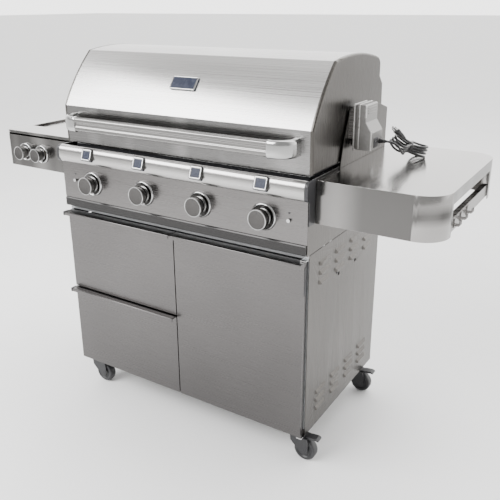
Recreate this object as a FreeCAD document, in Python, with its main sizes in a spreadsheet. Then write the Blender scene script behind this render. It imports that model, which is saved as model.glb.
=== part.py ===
import FreeCAD, Part
import math
import os
import re
import Sketcher

# Gas barbecue grill on a wheeled cabinet, in millimetres.
# Origin: on the floor, under the middle of the box around the grill (its power lead left out).
# +X runs to the right along the width, +Y to the back, +Z up.

doc = FreeCAD.newDocument("gas_grill")
sheet = doc.addObject("Spreadsheet::Sheet", "dims")

DRIVING_DIMENSIONS = {
    # cabinet
    "half_width": 480, "cart_front": -265, "cart_rear": 280, "cart_bottom": 108, "cart_top": 722,
    "sheet_gauge": 2, "pan_height": 25, "door_front": -285, "door_gauge": 18, "door_low": 110,
    "door_high": 706, "drawer_split": 411, "half_gap": 2, "lip_reach": 25, "lip_drop": 12, "lip_gauge": 4,
    "drawer_depth": 390, "upper_drawer_height": 190, "lower_drawer_height": 230, "runner_height": 14,
    # burner box and control panel
    "box_top": 944, "panel_front": -284, "panel_gauge": 3, "panel_low": 758, "panel_high": 886,
    "strip_low": 726, "nose_front": -301, "nose_top": 945, "nose_round": 16,
    "firebox_half": 455, "firebox_front": -232, "firebox_rear": 238, "firebox_low": 776,
    "grate_level": 915, "burner_level": 862, "burner_radius": 14,
    # knobs
    "nose_half": 475, "gauge_spacing": 226.3, "gauge_shift": 1, "gauge_level": 922.5,
    "knob_spacing": 226, "knob_level": 822, "knob_radius": 30.5, "knob_stand": 5, "knob_reach": 42,
    "bezel_radius": 42, "stem_radius": 4, "running_gap": 0.05,
    "side_knob_a": -762, "side_knob_b": -675, "side_knob_level": 871, "fascia_front": -206,
    "side_knob_radius": 25.5, "side_knob_reach": 40, "side_bezel_radius": 35,
    "button_place": 422, "button_level": 824, "button_radius": 5.5,
    # hood
    "hood_low": 953, "hood_front": -254, "band_top": 1076, "crease_back": -121, "crease_top": 1250,
    "hood_peak": 1261, "hood_rear": 213, "hood_step_back": 239, "hood_half": 466.5, "cap_gauge": 10,
    "cap_round": 6,
    "pivot_back": 165, "pivot_level": 1010, "pin_radius": 5, "wing_top": 1104,
    # shelves
    "shelf_inner": 484, "shelf_right": 840, "shelf_left": 860, "shelf_front": -245, "shelf_rear": 338,
    "shelf_top": 940, "apron_low": 814, "skirt_drop": 35, "shelf_fore_round": 80, "shelf_aft_round": 75,
    "rail_low": 822, "rail_top": 860, "rail_face": 836, "hook_level": 843,
    "left_front": -212, "left_top": 949, "left_low": 811, "left_lip": 10, "left_recess": 9,
    "left_round": 22, "lid_sink": 8, "lid_height": 15,
    # rotisserie motor
    "motor_inner": 500, "motor_upper": 539, "motor_outer": 558, "motor_low": 991, "motor_high": 1124,
    "motor_half_depth": 45, "socket_level": 1006,
    # casters
    "caster_x": 440, "caster_front": -232, "caster_rear": 228, "caster_trail": 30, "wheel_radius": 37.5,
    "wheel_width": 26,
    # power lead
    "cord_diameter": 7, "cord_exit_back": 22, "cord_exit_level": 1011, "relief_length": 24,
}
for row, (alias, value) in enumerate(DRIVING_DIMENSIONS.items(), start=1):
    sheet.set(f"A{row}", alias)
    sheet.set(f"B{row}", str(value))
    sheet.setAlias(f"B{row}", alias)
doc.recompute()

nodes = []


# ---------------------------------------------------------------- helpers

def bound(text):
    """An expression on the sheet: every word in it is one of the sheet's aliases."""
    return re.sub(r"[a-z_]+", lambda word: "dims." + word.group(0), str(text))


def mm(text):
    """The value of an expression on the sheet."""
    return float(sheet.evalExpression(bound(text)))


def node(label, thing):
    """Keep a finished sub-part under the name of its node."""
    thing.Label = label
    nodes.append(thing)
    return thing


def block(name, x, y, z):
    """A box from three (low, high) pairs of expressions."""
    box = doc.addObject("Part::Box", name)
    for side, axis, (low, high) in zip(("Length", "Width", "Height"), "xyz", (x, y, z)):
        box.setExpression(side, bound(f"({high}) - ({low})"))
        box.setExpression(f".Placement.Base.{axis}", bound(f"({low}) + 0"))
    return box


TURN = {"x": FreeCAD.Rotation(FreeCAD.Vector(0, 1, 0), 90),
        "y": FreeCAD.Rotation(FreeCAD.Vector(1, 0, 0), -90),
        "z": FreeCAD.Rotation()}


def rod(name, axis, radius, start, end, across):
    """A cylinder along one axis, from start to end, at the pair of places across it."""
    bar = doc.addObject("Part::Cylinder", name)
    bar.setExpression("Radius", bound(radius))
    bar.setExpression("Height", bound(f"({end}) - ({start})"))
    bar.Placement = FreeCAD.Placement(FreeCAD.Vector(), TURN[axis])
    places = dict(zip([letter for letter in "xyz" if letter != axis], across))
    places[axis] = start
    for letter, place in places.items():
        bar.setExpression(f".Placement.Base.{letter}", bound(f"({place}) + 0"))
    return bar


def fuse(name, pieces):
    """One solid from touching pieces."""
    joined = doc.addObject("Part::MultiFuse", name)
    joined.Shapes = pieces
    joined.Refine = True
    return joined


def cut(name, base, tools):
    """A piece with the tools cut away."""
    result = doc.addObject("Part::Cut", name)
    result.Base = base
    result.Tool = tools[0] if len(tools) == 1 else gather(name + "_tools", tools)
    return result


def gather(name, pieces):
    """Separate solids kept together in one node."""
    group = doc.addObject("Part::Compound", name)
    group.Links = pieces
    return group


def rounded(name, base, radius, chosen):
    """Round the edges of a piece whose middle point is chosen by a test."""
    doc.recompute()
    fillet = doc.addObject("Part::Fillet", name)
    fillet.Base = base
    picked = [number for number, edge in enumerate(base.Shape.Edges, start=1)
              if chosen(edge.CenterOfMass, edge)]
    if not picked:
        raise RuntimeError(name + ": no edge to round")
    fillet.Edges = [(number, mm(radius), mm(radius)) for number in picked]
    return fillet


def origin_plane(body, role):
    return [item for item in body.Origin.OriginFeatures if item.Role == role][0]


def draw_polygon(sketch, corners):
    """A closed outline whose corners are pairs of expressions bound to the sheet."""
    first = sketch.GeometryCount
    places = [FreeCAD.Vector(mm(across), mm(up), 0) for across, up in corners]
    for number, place in enumerate(places):
        following = places[(number + 1) % len(places)]
        sketch.addGeometry(Part.LineSegment(place, following), False)
    for number, (across, up) in enumerate(corners):
        line = first + number
        following = first + (number + 1) % len(corners)
        sketch.addConstraint(Sketcher.Constraint("Coincident", line, 2, following, 1))
        for kind, text in (("DistanceX", across), ("DistanceY", up)):
            index = sketch.addConstraint(Sketcher.Constraint(kind, -1, 1, line, 1, mm(text)))
            if re.search("[a-z]", str(text)):
                sketch.setExpression(f"Constraints[{index}]", bound(text))


def draw_circle(sketch, across, up, radius):
    circle = Part.Circle(FreeCAD.Vector(mm(across), mm(up), 0), FreeCAD.Vector(0, 0, 1), mm(radius))
    number = sketch.addGeometry(circle, False)
    facts = (("DistanceX", across), ("DistanceY", up))
    for kind, text in facts:
        index = sketch.addConstraint(Sketcher.Constraint(kind, -1, 1, number, 3, mm(text)))
        if re.search("[a-z]", str(text)):
            sketch.setExpression(f"Constraints[{index}]", bound(text))
    index = sketch.addConstraint(Sketcher.Constraint("Radius", number, mm(radius)))
    if re.search("[a-z]", str(radius)):
        sketch.setExpression(f"Constraints[{index}]", bound(radius))


PLANES = {"x": ("YZ_Plane", 1), "y": ("XZ_Plane", -1), "z": ("XY_Plane", 1)}


def pad(name, axis, low, high, outline, circles=(), windows=()):
    """A PartDesign body: an outline padded along one axis from low to high.

    Along x the outline's pairs are (y, z), along y they are (x, z) and along z (x, y).
    circles are (across, up, radius) holes; windows are (left, right, bottom, top) holes.
    """
    body = doc.addObject("PartDesign::Body", name)
    role, sense = PLANES[axis]
    sketch = body.newObject("Sketcher::SketchObject", name + "_sketch")
    sketch.AttachmentSupport = [(origin_plane(body, role), "")]
    sketch.MapMode = "FlatFace"
    start = low if sense > 0 else f"-1 * ({high})"
    sketch.setExpression(".AttachmentOffset.Base.z", bound(start))
    draw_polygon(sketch, outline)
    for circle in circles:
        draw_circle(sketch, *circle)
    for left, right, bottom, top in windows:
        draw_polygon(sketch, [(left, bottom), (right, bottom), (right, top), (left, top)])
    feature = body.newObject("PartDesign::Pad", name + "_pad")
    feature.Profile = sketch
    feature.setExpression("Length", bound(f"({high}) - ({low})"))
    return body


def turned(name, outline, across, up):
    """A PartDesign body turned about an axis along Y through (across, up).

    The outline's pairs are (radius, y)."""
    body = doc.addObject("PartDesign::Body", name)
    sketch = body.newObject("Sketcher::SketchObject", name + "_sketch")
    sketch.AttachmentSupport = [(origin_plane(body, "XY_Plane"), "")]
    sketch.MapMode = "FlatFace"
    draw_polygon(sketch, outline)
    feature = body.newObject("PartDesign::Revolution", name + "_turn")
    feature.Profile = sketch
    feature.ReferenceAxis = (sketch, ["V_Axis"])
    feature.Angle = 360
    body.setExpression(".Placement.Base.x", bound(f"({across}) + 0"))
    body.setExpression(".Placement.Base.z", bound(f"({up}) + 0"))
    return body


def feature(name, shape):
    """A shape made with Part's own functions."""
    thing = doc.addObject("Part::Feature", name)
    thing.Shape = shape
    thing.Placement = FreeCAD.Placement()
    return thing


def pair(name, make):
    """The left and the right copy of a piece, kept in one node."""
    return gather(name, [make(side) for side in ("left", "right")])


# ---------------------------------------------------------------- cabinet

def cart_base():
    """Bottom pan with upturned edges, four caster plates and their kingpins."""
    pan = block("pan_outside", ("-1 * half_width", "half_width"), ("cart_front", "cart_rear"),
                ("cart_bottom", "cart_bottom + pan_height"))
    hollow = block("pan_inside", ("sheet_gauge - half_width", "half_width - sheet_gauge"),
                   ("cart_front + sheet_gauge", "cart_rear - sheet_gauge"),
                   ("cart_bottom + 3", "cart_bottom + pan_height + 1"))
    pieces = [cut("pan", pan, [hollow])]
    for column in (-1, 1):
        for line in ("caster_front", "caster_rear"):
            middle = f"{column} * caster_x"
            name = f"caster_plate_{'left' if column < 0 else 'right'}_{line[7:]}"
            low = "cart_bottom - 4"
            plate = block(name, (f"{middle} - 32", f"{middle} + 32"), (f"{line} - 30", f"{line} + 30"),
                          (low, "cart_bottom"))
            kingpin = rod(name + "_kingpin", "z", 6, "cart_bottom - 29", low, (middle, line))
            pieces.append(fuse(name + "_pinned", [plate, kingpin]))
    return gather("cart_base_set", pieces)


node("cart_base", cart_base())

LOUVRE_COLUMNS = (-197, -85, 27, 139)
LOUVRE_ROWS = (674, 643, 612, 229, 199, 169)
LOUVRE_LENGTH = 66


def side_panel(side):
    """Cabinet side with rows of pressed louvres and two round holes."""
    sense = -1 if side == "left" else 1
    inner = "half_width - sheet_gauge" if sense > 0 else "-1 * half_width"
    outer = "half_width" if sense > 0 else "sheet_gauge - half_width"
    low = "cart_bottom + pan_height"
    panel = pad(side + "_panel_sheet", "x", inner, outer,
                [("cart_front", low), ("cart_rear", low), ("cart_rear", "cart_top - 1"),
                 ("cart_front", "cart_top - 1")],
                circles=[(-54, 590, 6), (75, 591, 6)],
                windows=[(column + 6, column + LOUVRE_LENGTH - 6, row - 4, row + 3)
                         for column in LOUVRE_COLUMNS for row in LOUVRE_ROWS])
    pressings = []
    for column in LOUVRE_COLUMNS:
        for row in LOUVRE_ROWS:
            face = "half_width" if sense > 0 else "-1 * half_width"
            wedge = doc.addObject("Part::Wedge", f"{side}_louvre_{len(pressings)}")
            wedge.Xmin, wedge.Xmax, wedge.X2min, wedge.X2max = 0, LOUVRE_LENGTH, 6, LOUVRE_LENGTH - 6
            wedge.Zmin, wedge.Zmax, wedge.Z2min, wedge.Z2max = -7, 8, -7, -2
            wedge.Ymin, wedge.Ymax = 0, 6
            turn = FreeCAD.Rotation(FreeCAD.Vector(0, 0, 1), -90 * sense)
            start = column + LOUVRE_LENGTH if sense > 0 else column
            wedge.Placement = FreeCAD.Placement(FreeCAD.Vector(0, start, row), turn)
            wedge.setExpression(".Placement.Base.x", bound(f"{face} + 0"))
            pressings.append(wedge)
    throats = [block(f"{side}_throat_{number}",
                     (f"{inner} - 1", f"{outer} + 3.5") if sense > 0
                     else (f"{inner} - 3.5", f"{outer} + 1"),
                     (column + 8, column + LOUVRE_LENGTH - 8), (row - 9, row + 1))
               for number, (column, row) in enumerate((c, r) for c in LOUVRE_COLUMNS for r in LOUVRE_ROWS)]
    return cut(side + "_panel_solid", fuse(side + "_pressed", [panel] + pressings), throats)


for side in ("left", "right"):
    node(side + "_side_panel", side_panel(side))

node("rear_panel", pad("rear_panel_sheet", "y", "cart_rear - sheet_gauge", "cart_rear",
                       [("sheet_gauge - half_width", "cart_bottom + pan_height"),
                        ("half_width - sheet_gauge", "cart_bottom + pan_height"),
                        ("half_width - sheet_gauge", "cart_top - 14"),
                        ("sheet_gauge - half_width", "cart_top - 14")],
                       windows=[(-240 + 120 * column, -170 + 120 * column, 600 - 24 * line, 608 - 24 * line)
                                for column in range(5) for line in range(4)]))


def cabinet_frame():
    """Front and rear cross rails, corner posts and the divider between drawers and door."""
    inside = ("sheet_gauge - half_width", "half_width - sheet_gauge")
    rail = ("cart_top - 13", "cart_top")
    post = ("cart_bottom + pan_height", "cart_top - 13")
    pieces = [block("front_rail", inside, ("cart_front", "cart_front + 16"), rail),
              block("rear_rail", inside, ("cart_rear - 18", "cart_rear - sheet_gauge"), rail),
              block("divider", (-1, 1), ("cart_front + 2", "cart_rear - 4"),
                    ("cart_bottom + 3", "cart_top - 13")),
              block("left_post", ("sheet_gauge - half_width", "9 - half_width"),
                    ("cart_front", "cart_front + 5"), post),
              block("right_post", ("half_width - 9", "half_width - sheet_gauge"),
                    ("cart_front", "cart_front + 5"), post)]
    return fuse("cabinet_frame_solid", pieces)


node("cabinet_frame", cabinet_frame())

DRAWERS = {"upper": ("drawer_split + half_gap", "door_high", "upper_drawer_height"),
           "lower": ("door_low", "drawer_split - half_gap", "lower_drawer_height")}


def drawer_runners():
    """Four fixed slide rails, two to a drawer."""
    rails = []
    for name, (low, high, height) in DRAWERS.items():
        level = (f"{low} + {height} / 2", f"{low} + {height} / 2 + runner_height")
        run = ("cart_front + 6", "cart_front + drawer_depth")
        rails.append(block(name + "_left_rail", ("sheet_gauge - half_width", "10 - half_width"), run, level))
        rails.append(block(name + "_right_rail", (-9, -1), run, level))
    return gather("drawer_runner_rails", rails)


node("drawer_runners", drawer_runners())


def lipped_outline(low, high):
    """Section of a front: a slab with a rolled lip along its top that serves as the handle."""
    back = "door_front + door_gauge"
    reach = "door_front - lip_reach"
    return [(back, low), (back, high), (reach, high), (reach, f"{high} - lip_drop"),
            (f"{reach} + 4", f"{high} - lip_drop"), (f"{reach} + 4", f"{high} - lip_gauge"),
            ("door_front", f"{high} - lip_gauge"), ("door_front", low)]


def softened_lip(name, slab, high):
    """Round the long front edges of a lip."""
    reach = mm("door_front - lip_reach")
    top = mm(high)
    return rounded(name, slab, 3, lambda middle, edge: abs(middle.y - reach) < 0.1
                   and abs(middle.z - top) < 0.1)


def drawer(name, low, high, height):
    """A lipped front, an open box behind it and its two moving runner members."""
    front = softened_lip(name + "_front", pad(name + "_slab", "x", "6 - half_width", "-1 * half_gap",
                                              lipped_outline(low, high)), high)
    back = "door_front + door_gauge"
    floor = f"{low} + 26"
    outside = block(name + "_box", ("16 - half_width", -15), (back, f"{back} + drawer_depth"),
                    (floor, f"{floor} + {height}"))
    inside = block(name + "_hollow", ("18 - half_width", -17),
                   (f"{back} + 2", f"{back} + drawer_depth - 2"), (f"{floor} + 2", f"{floor} + {height} + 1"))
    level = (f"{low} + {height} / 2 + 1", f"{low} + {height} / 2 + runner_height - 1")
    run = (f"{back} + 6", f"{back} + drawer_depth - 10")
    members = [block(name + "_left_member", ("11 - half_width", "16 - half_width"), run, level),
               block(name + "_right_member", (-15, -10), run, level)]
    return fuse(name + "_solid", [front, cut(name + "_tray", outside, [inside])] + members)


for name, (low, high, height) in DRAWERS.items():
    node(name + "_drawer", drawer(name, low, high, height))

HINGE_SIDE = "half_width - 11"
HINGE_FRONT = "cart_front - 14"


def cabinet_door():
    """The right-hand door, bored at top and bottom for its two hinge pins."""
    slab = softened_lip("door_front_lip", pad("door_slab", "x", "half_gap", "half_width - 6",
                                             lipped_outline("door_low", "door_high")), "door_high")
    bores = [rod("door_bore_low", "z", "3 + running_gap", "door_low - 1", "door_low + 13",
                 (HINGE_SIDE, HINGE_FRONT)),
             rod("door_bore_high", "z", "3 + running_gap", "door_high - 13", "door_high + 1",
                 (HINGE_SIDE, HINGE_FRONT))]
    return cut("door_solid", slab, bores)


node("cabinet_door", cabinet_door())


def door_hinges():
    """The two brackets that carry the door's pins."""
    width = ("half_width - 20", "half_width - sheet_gauge")
    depth = ("door_front", "cart_front")
    low = ("cart_bottom - 3", "cart_bottom + 1")
    high = ("door_high + 1.5", "door_high + 4.5")
    lower = fuse("lower_hinge", [block("lower_bracket", width, depth, low),
                                 block("lower_bracket_foot", width, ("cart_front", "cart_front + 2.5"),
                                       ("cart_bottom - 3", "cart_bottom")),
                                 rod("lower_pin", "z", 3, "cart_bottom", "door_low + 11",
                                     (HINGE_SIDE, HINGE_FRONT))])
    upper = fuse("upper_hinge", [block("upper_bracket", width, depth, high),
                                 rod("upper_pin", "z", 3, "door_high - 11", "door_high + 3",
                                     (HINGE_SIDE, HINGE_FRONT))])
    return [lower, upper]


# ---------------------------------------------------------------- burner box

def firebox():
    """Open-topped burner box with a grease slot in its floor and a mounting flange."""
    half = "firebox_half"
    outside = block("firebox_outside", (f"-1 * {half}", half), ("firebox_front", "firebox_rear"),
                    ("firebox_low", "box_top - 2"))
    inside = block("firebox_inside", (f"3 - {half}", f"{half} - 3"),
                   ("firebox_front + 3", "firebox_rear - 3"), ("firebox_low + 3", "box_top + 1"))
    slot = block("grease_slot", (-120, 120), (-30, 30), ("firebox_low - 1", "firebox_low + 4"))
    shell = cut("firebox_shell", outside, [inside, slot])
    flanges = [block(f"firebox_flange_{side}", span, ("firebox_front", "firebox_rear"),
                     ("firebox_low - 2", "firebox_low"))
               for side, span in (("left", ("sheet_gauge - half_width", f"10 - {half}")),
                                  ("right", (f"{half} - 10", "half_width - sheet_gauge")))]
    for side, web, ledge in (("left", (-304, -301), (-304, -286)), ("right", (301, 304), (286, 304))):
        run = ("firebox_front + 6", "cart_rear - 14")
        flanges.append(block(f"tray_web_{side}", web, run, ("cart_top + 20", "firebox_low")))
        flanges.append(block(f"tray_ledge_{side}", ledge, run, ("cart_top + 20", "cart_top + 23.5")))
    return fuse("firebox_solid", [shell] + flanges)


node("firebox", firebox())


def firebox_skin(side):
    inner, outer = ("half_width - sheet_gauge", "half_width")
    if side == "left":
        inner, outer = "-1 * half_width", "sheet_gauge - half_width"
    front = "panel_front + panel_gauge"
    return pad(side + "_firebox_skin", "x", inner, outer,
               [(front, "cart_top + 1"), ("cart_rear", "cart_top + 1"), ("cart_rear", "box_top"),
                (front, "box_top")])


node("firebox_side_panels", pair("firebox_skins", firebox_skin))

node("rear_housing", pad("rear_housing_sheet", "y", "cart_rear - 12", "cart_rear - 10",
                         [(-465, "cart_top + 12"), (465, "cart_top + 12"), (465, 1070), (-465, 1070)],
                         windows=[(-400 + 130 * column, -320 + 130 * column, 1000 - 22 * line,
                                   1010 - 22 * line)
                                  for column in range(7) for line in range(3)]
                         + [(-310, 310, "cart_top + 20", "firebox_low - 8")]))


def wing(side):
    """Fixed plate beside the hood's rear corner; the hood's pivot pin and the spit pass through it."""
    low, high = ("half_width", "half_width + 3")
    if side == "left":
        low, high = "-3 - half_width", "-1 * half_width"
    plate = pad(side + "_wing_plate", "x", low, high,
                [(-88, 870), ("cart_rear", 870), ("cart_rear", "wing_top - 32"), (214, "wing_top - 12"),
                 (-14, "wing_top"), (-30, "wing_top - 4"), (-52, 1048), (-70, 1000), (-86, 940)],
                circles=[("pivot_back", "pivot_level", "pin_radius"), (0, "socket_level", 14)])
    return plate


node("wing_plates", pair("wings", wing))


def hood_pin(side):
    """Pivot pin with a button head outside the wing plate."""
    if side == "right":
        shank = rod("right_shank", "x", "pin_radius", "half_width - 12", "half_width + 3",
                    ("pivot_back", "pivot_level"))
        head = rod("right_pin_head", "x", 10, "half_width + 3", "half_width + 6",
                   ("pivot_back", "pivot_level"))
    else:
        shank = rod("left_shank", "x", "pin_radius", "-3 - half_width", "12 - half_width",
                    ("pivot_back", "pivot_level"))
        head = rod("left_pin_head", "x", 10, "-6 - half_width", "-3 - half_width",
                   ("pivot_back", "pivot_level"))
    return fuse(side + "_hood_pin", [shank, head])


node("hinge_pins", gather("hinge_pin_set", door_hinges() + [hood_pin("left"), hood_pin("right")]))

KNOB_PLACES = {"knob_1": "-1.5 * knob_spacing", "knob_2": "-0.5 * knob_spacing",
               "knob_3": "0.5 * knob_spacing", "knob_4": "1.5 * knob_spacing"}
SIDE_KNOB_PLACES = {"side_knob_1": "side_knob_a", "side_knob_2": "side_knob_b"}

node("control_panel", pad("control_panel_sheet", "y", "panel_front", "panel_front + panel_gauge",
                          [("0.2 - half_width", "panel_low"), ("half_width - 0.2", "panel_low"),
                           ("half_width - 0.2", "panel_high"), ("0.2 - half_width", "panel_high")],
                          circles=[(place, "knob_level", 9) for place in KNOB_PLACES.values()]
                          + [(f"{sense} * button_place", "button_level", "button_radius + 0.5")
                             for sense in (-1, 1)]))


def nose_bar(name, low, high, inset):
    """A length of the front rail: a bar with its two long front edges well rounded."""
    bar = block(name + "_block", (low, high), (f"nose_front + {inset}", "panel_front + panel_gauge"),
                ("panel_high", f"nose_top - {inset}"))
    front = mm("nose_front") + inset
    return rounded(name + "_rounded", bar, "nose_round", lambda middle, edge: abs(middle.y - front) < 0.1
                   and edge.BoundBox.XLength > 5)


node("bullnose", nose_bar("nose", "-1 * nose_half", "nose_half", 0))

node("trim_strip", pad("trim_strip_bar", "x", "2 - half_width", "half_width - 2",
                       [("panel_front + panel_gauge", "strip_low"),
                        ("panel_front + panel_gauge", "panel_low - 1"), ("panel_front - 1", "panel_low - 1"),
                        ("panel_front - 4", "panel_low - 5"), ("panel_front - 4", "strip_low + 2"),
                        ("panel_front - 2", "strip_low")]))


def end_cap(side):
    """Dark plastic cover over the end of the front rail, with a cheek down the burner box."""
    def span(low, high):
        return (low, high) if side == "right" else (f"-1 * ({high})", f"-1 * ({low})")
    nose = nose_bar(side + "_cap_nose", *span("nose_half", "half_width + 6"), 0.5)
    cheek = block(side + "_cap_cheek", span("half_width", "half_width + 3.5"),
                  ("panel_front + panel_gauge", "shelf_front - 2"), ("apron_low", "nose_top - 1"))
    return fuse(side + "_cap", [nose, cheek])


node("end_caps", pair("end_covers", end_cap))


def bezel(name, place, level, face, radius):
    """Chrome ring round a knob, dished to a narrow front rim."""
    outline = [(f"{radius} - 17", face), (radius, face), (radius, f"{face} - 4"),
               (f"{radius} - 3.5", f"{face} - 8"), (f"{radius} - 6", f"{face} - 8"),
               (f"{radius} - 13", f"{face} - 3"), (f"{radius} - 17", f"{face} - 3")]
    return turned(name + "_bezel", outline, place, level)


BEZELS = [bezel(name, place, "knob_level", "panel_front", "bezel_radius")
          for name, place in KNOB_PLACES.items()]
BEZELS += [bezel(name, place, "side_knob_level", "fascia_front", "side_bezel_radius")
           for name, place in SIDE_KNOB_PLACES.items()]
node("knob_bezels", gather("bezel_set", BEZELS))


def knob(name, place, level, face, reach, radius):
    """A round knob with a thin rim round its face and a bore for its valve stem."""
    bore = "stem_radius + running_gap"
    rear = f"{face} - knob_stand"
    front = f"{face} - {reach}"
    outline = [(bore, rear), (f"{radius} - 4.5", rear), (f"{radius} - 4.5", f"{rear} - 8"),
               (f"{radius} - 2", f"{rear} - 11"), (f"{radius} - 2", f"{front} + 6"),
               (radius, f"{front} + 4.5"), (radius, f"{front} + 0.8"), (f"{radius} - 0.8", front),
               (f"{radius} - 2", front), (f"{radius} - 2.6", f"{front} + 0.8"), (0, f"{front} + 0.8"),
               (0, f"{front} + 10"), (bore, f"{front} + 10")]
    return turned(name + "_body", outline, place, level)


for name, place in KNOB_PLACES.items():
    node(name, knob(name, place, "knob_level", "panel_front", "knob_reach", "knob_radius"))
for name, place in SIDE_KNOB_PLACES.items():
    node(name, knob(name, place, "side_knob_level", "fascia_front", "side_knob_reach", "side_knob_radius"))


def push_button(name, sense):
    """Igniter or lamp button: a round cap on a shank with a stop flange behind the panel."""
    bar = rod(name + "_shank", "y", "button_radius", "panel_front - 7", "panel_front + 16",
              (f"{sense} * button_place", "button_level"))
    flange = rod(name + "_flange", "y", "button_radius + 3", "panel_front + 8", "panel_front + 11",
                 (f"{sense} * button_place", "button_level"))
    return fuse(name + "_solid", [bar, flange])


for name, sense in (("left_button", -1), ("right_button", 1)):
    node(name, push_button(name, sense))


def gauges():
    """Four small square gauges let into the front rail and tipped back to face the cook."""
    wide, tall = 23, 21
    faces = []
    for number in range(4):
        centre = f"gauge_shift + ({number} - 1.5) * gauge_spacing"
        face = pad(f"gauge_{number + 1}", "y", -9, 9,
                   [(-wide, -tall), (wide, -tall), (wide, tall), (-wide, tall)])
        soft = rounded(f"gauge_{number + 1}_round", face, 7,
                       lambda middle, edge: abs(abs(middle.x) - wide) < 0.1
                       and abs(abs(middle.z) - tall) < 0.1)
        lift = FreeCAD.Rotation(FreeCAD.Vector(1, 0, 0), -20)
        soft.Placement = FreeCAD.Placement(FreeCAD.Vector(mm(centre), mm("nose_front + 3.5"),
                                                          mm("gauge_level")), lift)
        faces.append(soft)
    return gather("gauge_set", faces)


node("gauges", gauges())


def gas_manifold():
    """Supply pipe with a valve and a stem behind each knob, and the two shelf valves."""
    line = "panel_front + 30"
    pipe = rod("manifold_pipe", "x", 8, -452, 440, (line, "knob_level"))
    nut = rod("inlet_nut", "x", 12, -452, -438, (line, "knob_level"))
    pieces = [pipe, nut]
    for name, place in KNOB_PLACES.items():
        pieces.append(block(name + "_valve", (f"{place} - 12", f"{place} + 12"),
                            ("panel_front + 12", "panel_front + 40"), ("knob_level - 13", "knob_level + 13")))
        pieces.append(rod(name + "_stem", "y", "stem_radius", "panel_front - knob_reach + 12",
                          "panel_front + 14", (place, "knob_level")))
    main = fuse("main_valves", pieces)
    side = []
    for name, place in SIDE_KNOB_PLACES.items():
        side.append(block(name + "_valve", (f"{place} - 11", f"{place} + 11"),
                          ("fascia_front + 12", "fascia_front + 40"),
                          ("side_knob_level - 12", "side_knob_level + 12")))
        side.append(rod(name + "_stem", "y", "stem_radius", "fascia_front - side_knob_reach + 12",
                        "fascia_front + 14", (place, "side_knob_level")))
    side.append(rod("side_pipe", "x", 6, "side_knob_a", "side_knob_b",
                    ("fascia_front + 28", "side_knob_level")))
    return gather("gas_train", [main, fuse("side_valves", side)])


node("gas_manifold", gas_manifold())


def burners():
    """Four tube burners that run from front to back."""
    tubes = [rod(f"burner_{number}", "y", "burner_radius", "firebox_front + 8", "firebox_rear - 12",
                 (f"({number} - 1.5) * knob_spacing", "burner_level")) for number in range(4)]
    return gather("burner_set", tubes)


node("burners", burners())


def heat_plates():
    """Four roof-shaped plates above the burners."""
    plates = []
    for number in range(4):
        centre = f"({number} - 1.5) * knob_spacing"
        crest = "burner_level + 36"
        plates.append(pad(f"heat_plate_{number}", "y", "firebox_front + 5", "firebox_rear - 5",
                          [(f"{centre} - 60", f"{crest} - 22"), (centre, crest),
                           (f"{centre} + 60", f"{crest} - 22"), (f"{centre} + 60", f"{crest} - 25"),
                           (centre, f"{crest} - 3"), (f"{centre} - 60", f"{crest} - 25")]))
    return gather("heat_plate_set", plates)


node("heat_plates", heat_plates())


def cooking_grates():
    """Four grates side by side, each a rim with bars that run from front to back."""
    grates = []
    width = "(2 * firebox_half - 10) / 4"
    bars = 12
    for number in range(4):
        left = f"{number} * {width} - firebox_half + 5"
        gap = f"({width} - 4 - 8) / {bars}"
        windows = [(f"{left} + 8 + {gap} * {bar}", f"{left} + 8 + {gap} * {bar} + {gap} - 6",
                    "firebox_front + 14", "firebox_rear - 14") for bar in range(bars)]
        grates.append(pad(f"grate_{number}", "z", "grate_level", "grate_level + 8",
                          [(left, "firebox_front + 5"), (f"{left} + {width} - 2", "firebox_front + 5"),
                           (f"{left} + {width} - 2", "firebox_rear - 5"), (left, "firebox_rear - 5")],
                          windows=windows))
    return gather("grate_set", grates)


node("cooking_grates", cooking_grates())


def drip_tray():
    """Shallow grease tray that slides out at the back, above the cabinet."""
    span = (-300, 300)
    run = ("cart_front + 40", "cart_rear + 6")
    level = ("cart_top + 24", "firebox_low - 12")
    outside = block("tray_outside", span, run, level)
    inside = block("tray_inside", (-298, 298), ("cart_front + 42", "cart_rear + 4"),
                   ("cart_top + 26", "firebox_low - 11"))
    return cut("tray_shell", outside, [inside])


node("drip_tray", drip_tray())


# ---------------------------------------------------------------- hood

def hood_profile():
    """Side view of the hood: upright band, curved front, crease, arched top, stepped back."""
    def at(back, level):
        return FreeCAD.Vector(0, mm(back), mm(level))
    foot = at("hood_front", "hood_low")
    band = at("hood_front", "band_top")
    crease = at("crease_back", "crease_top")
    swell = at("(hood_front + crease_back) / 2 - 7.2", "(band_top + crease_top) / 2 + 5.5")
    shoulder = at("hood_rear - 23", "hood_peak - 20")
    crown = at("(crease_back + hood_rear) / 2 + 6", "hood_peak")
    turn_out = at("hood_rear - 6", "hood_peak - 31")
    rear = at("hood_rear", "hood_peak - 46")
    step = at("hood_rear", "hood_peak - 80")
    skirt = at("hood_step_back", "hood_peak - 106")
    return foot, band, swell, crease, crown, shoulder, turn_out, rear, step, skirt


def hood_wire(end):
    """The profile as lines and arcs, carried on to a last point."""
    foot, band, swell, crease, crown, shoulder, turn_out, rear, step, skirt = hood_profile()
    return Part.Wire([Part.LineSegment(foot, band).toShape(), Part.Arc(band, swell, crease).toShape(),
                      Part.Arc(crease, crown, shoulder).toShape(),
                      Part.Arc(shoulder, turn_out, rear).toShape(),
                      Part.LineSegment(rear, step).toShape(), Part.LineSegment(step, skirt).toShape(),
                      Part.LineSegment(skirt, end).toShape()])


SKIRT_END = FreeCAD.Vector(0, mm("hood_step_back + 2"), mm("pivot_level + 112"))


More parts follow.
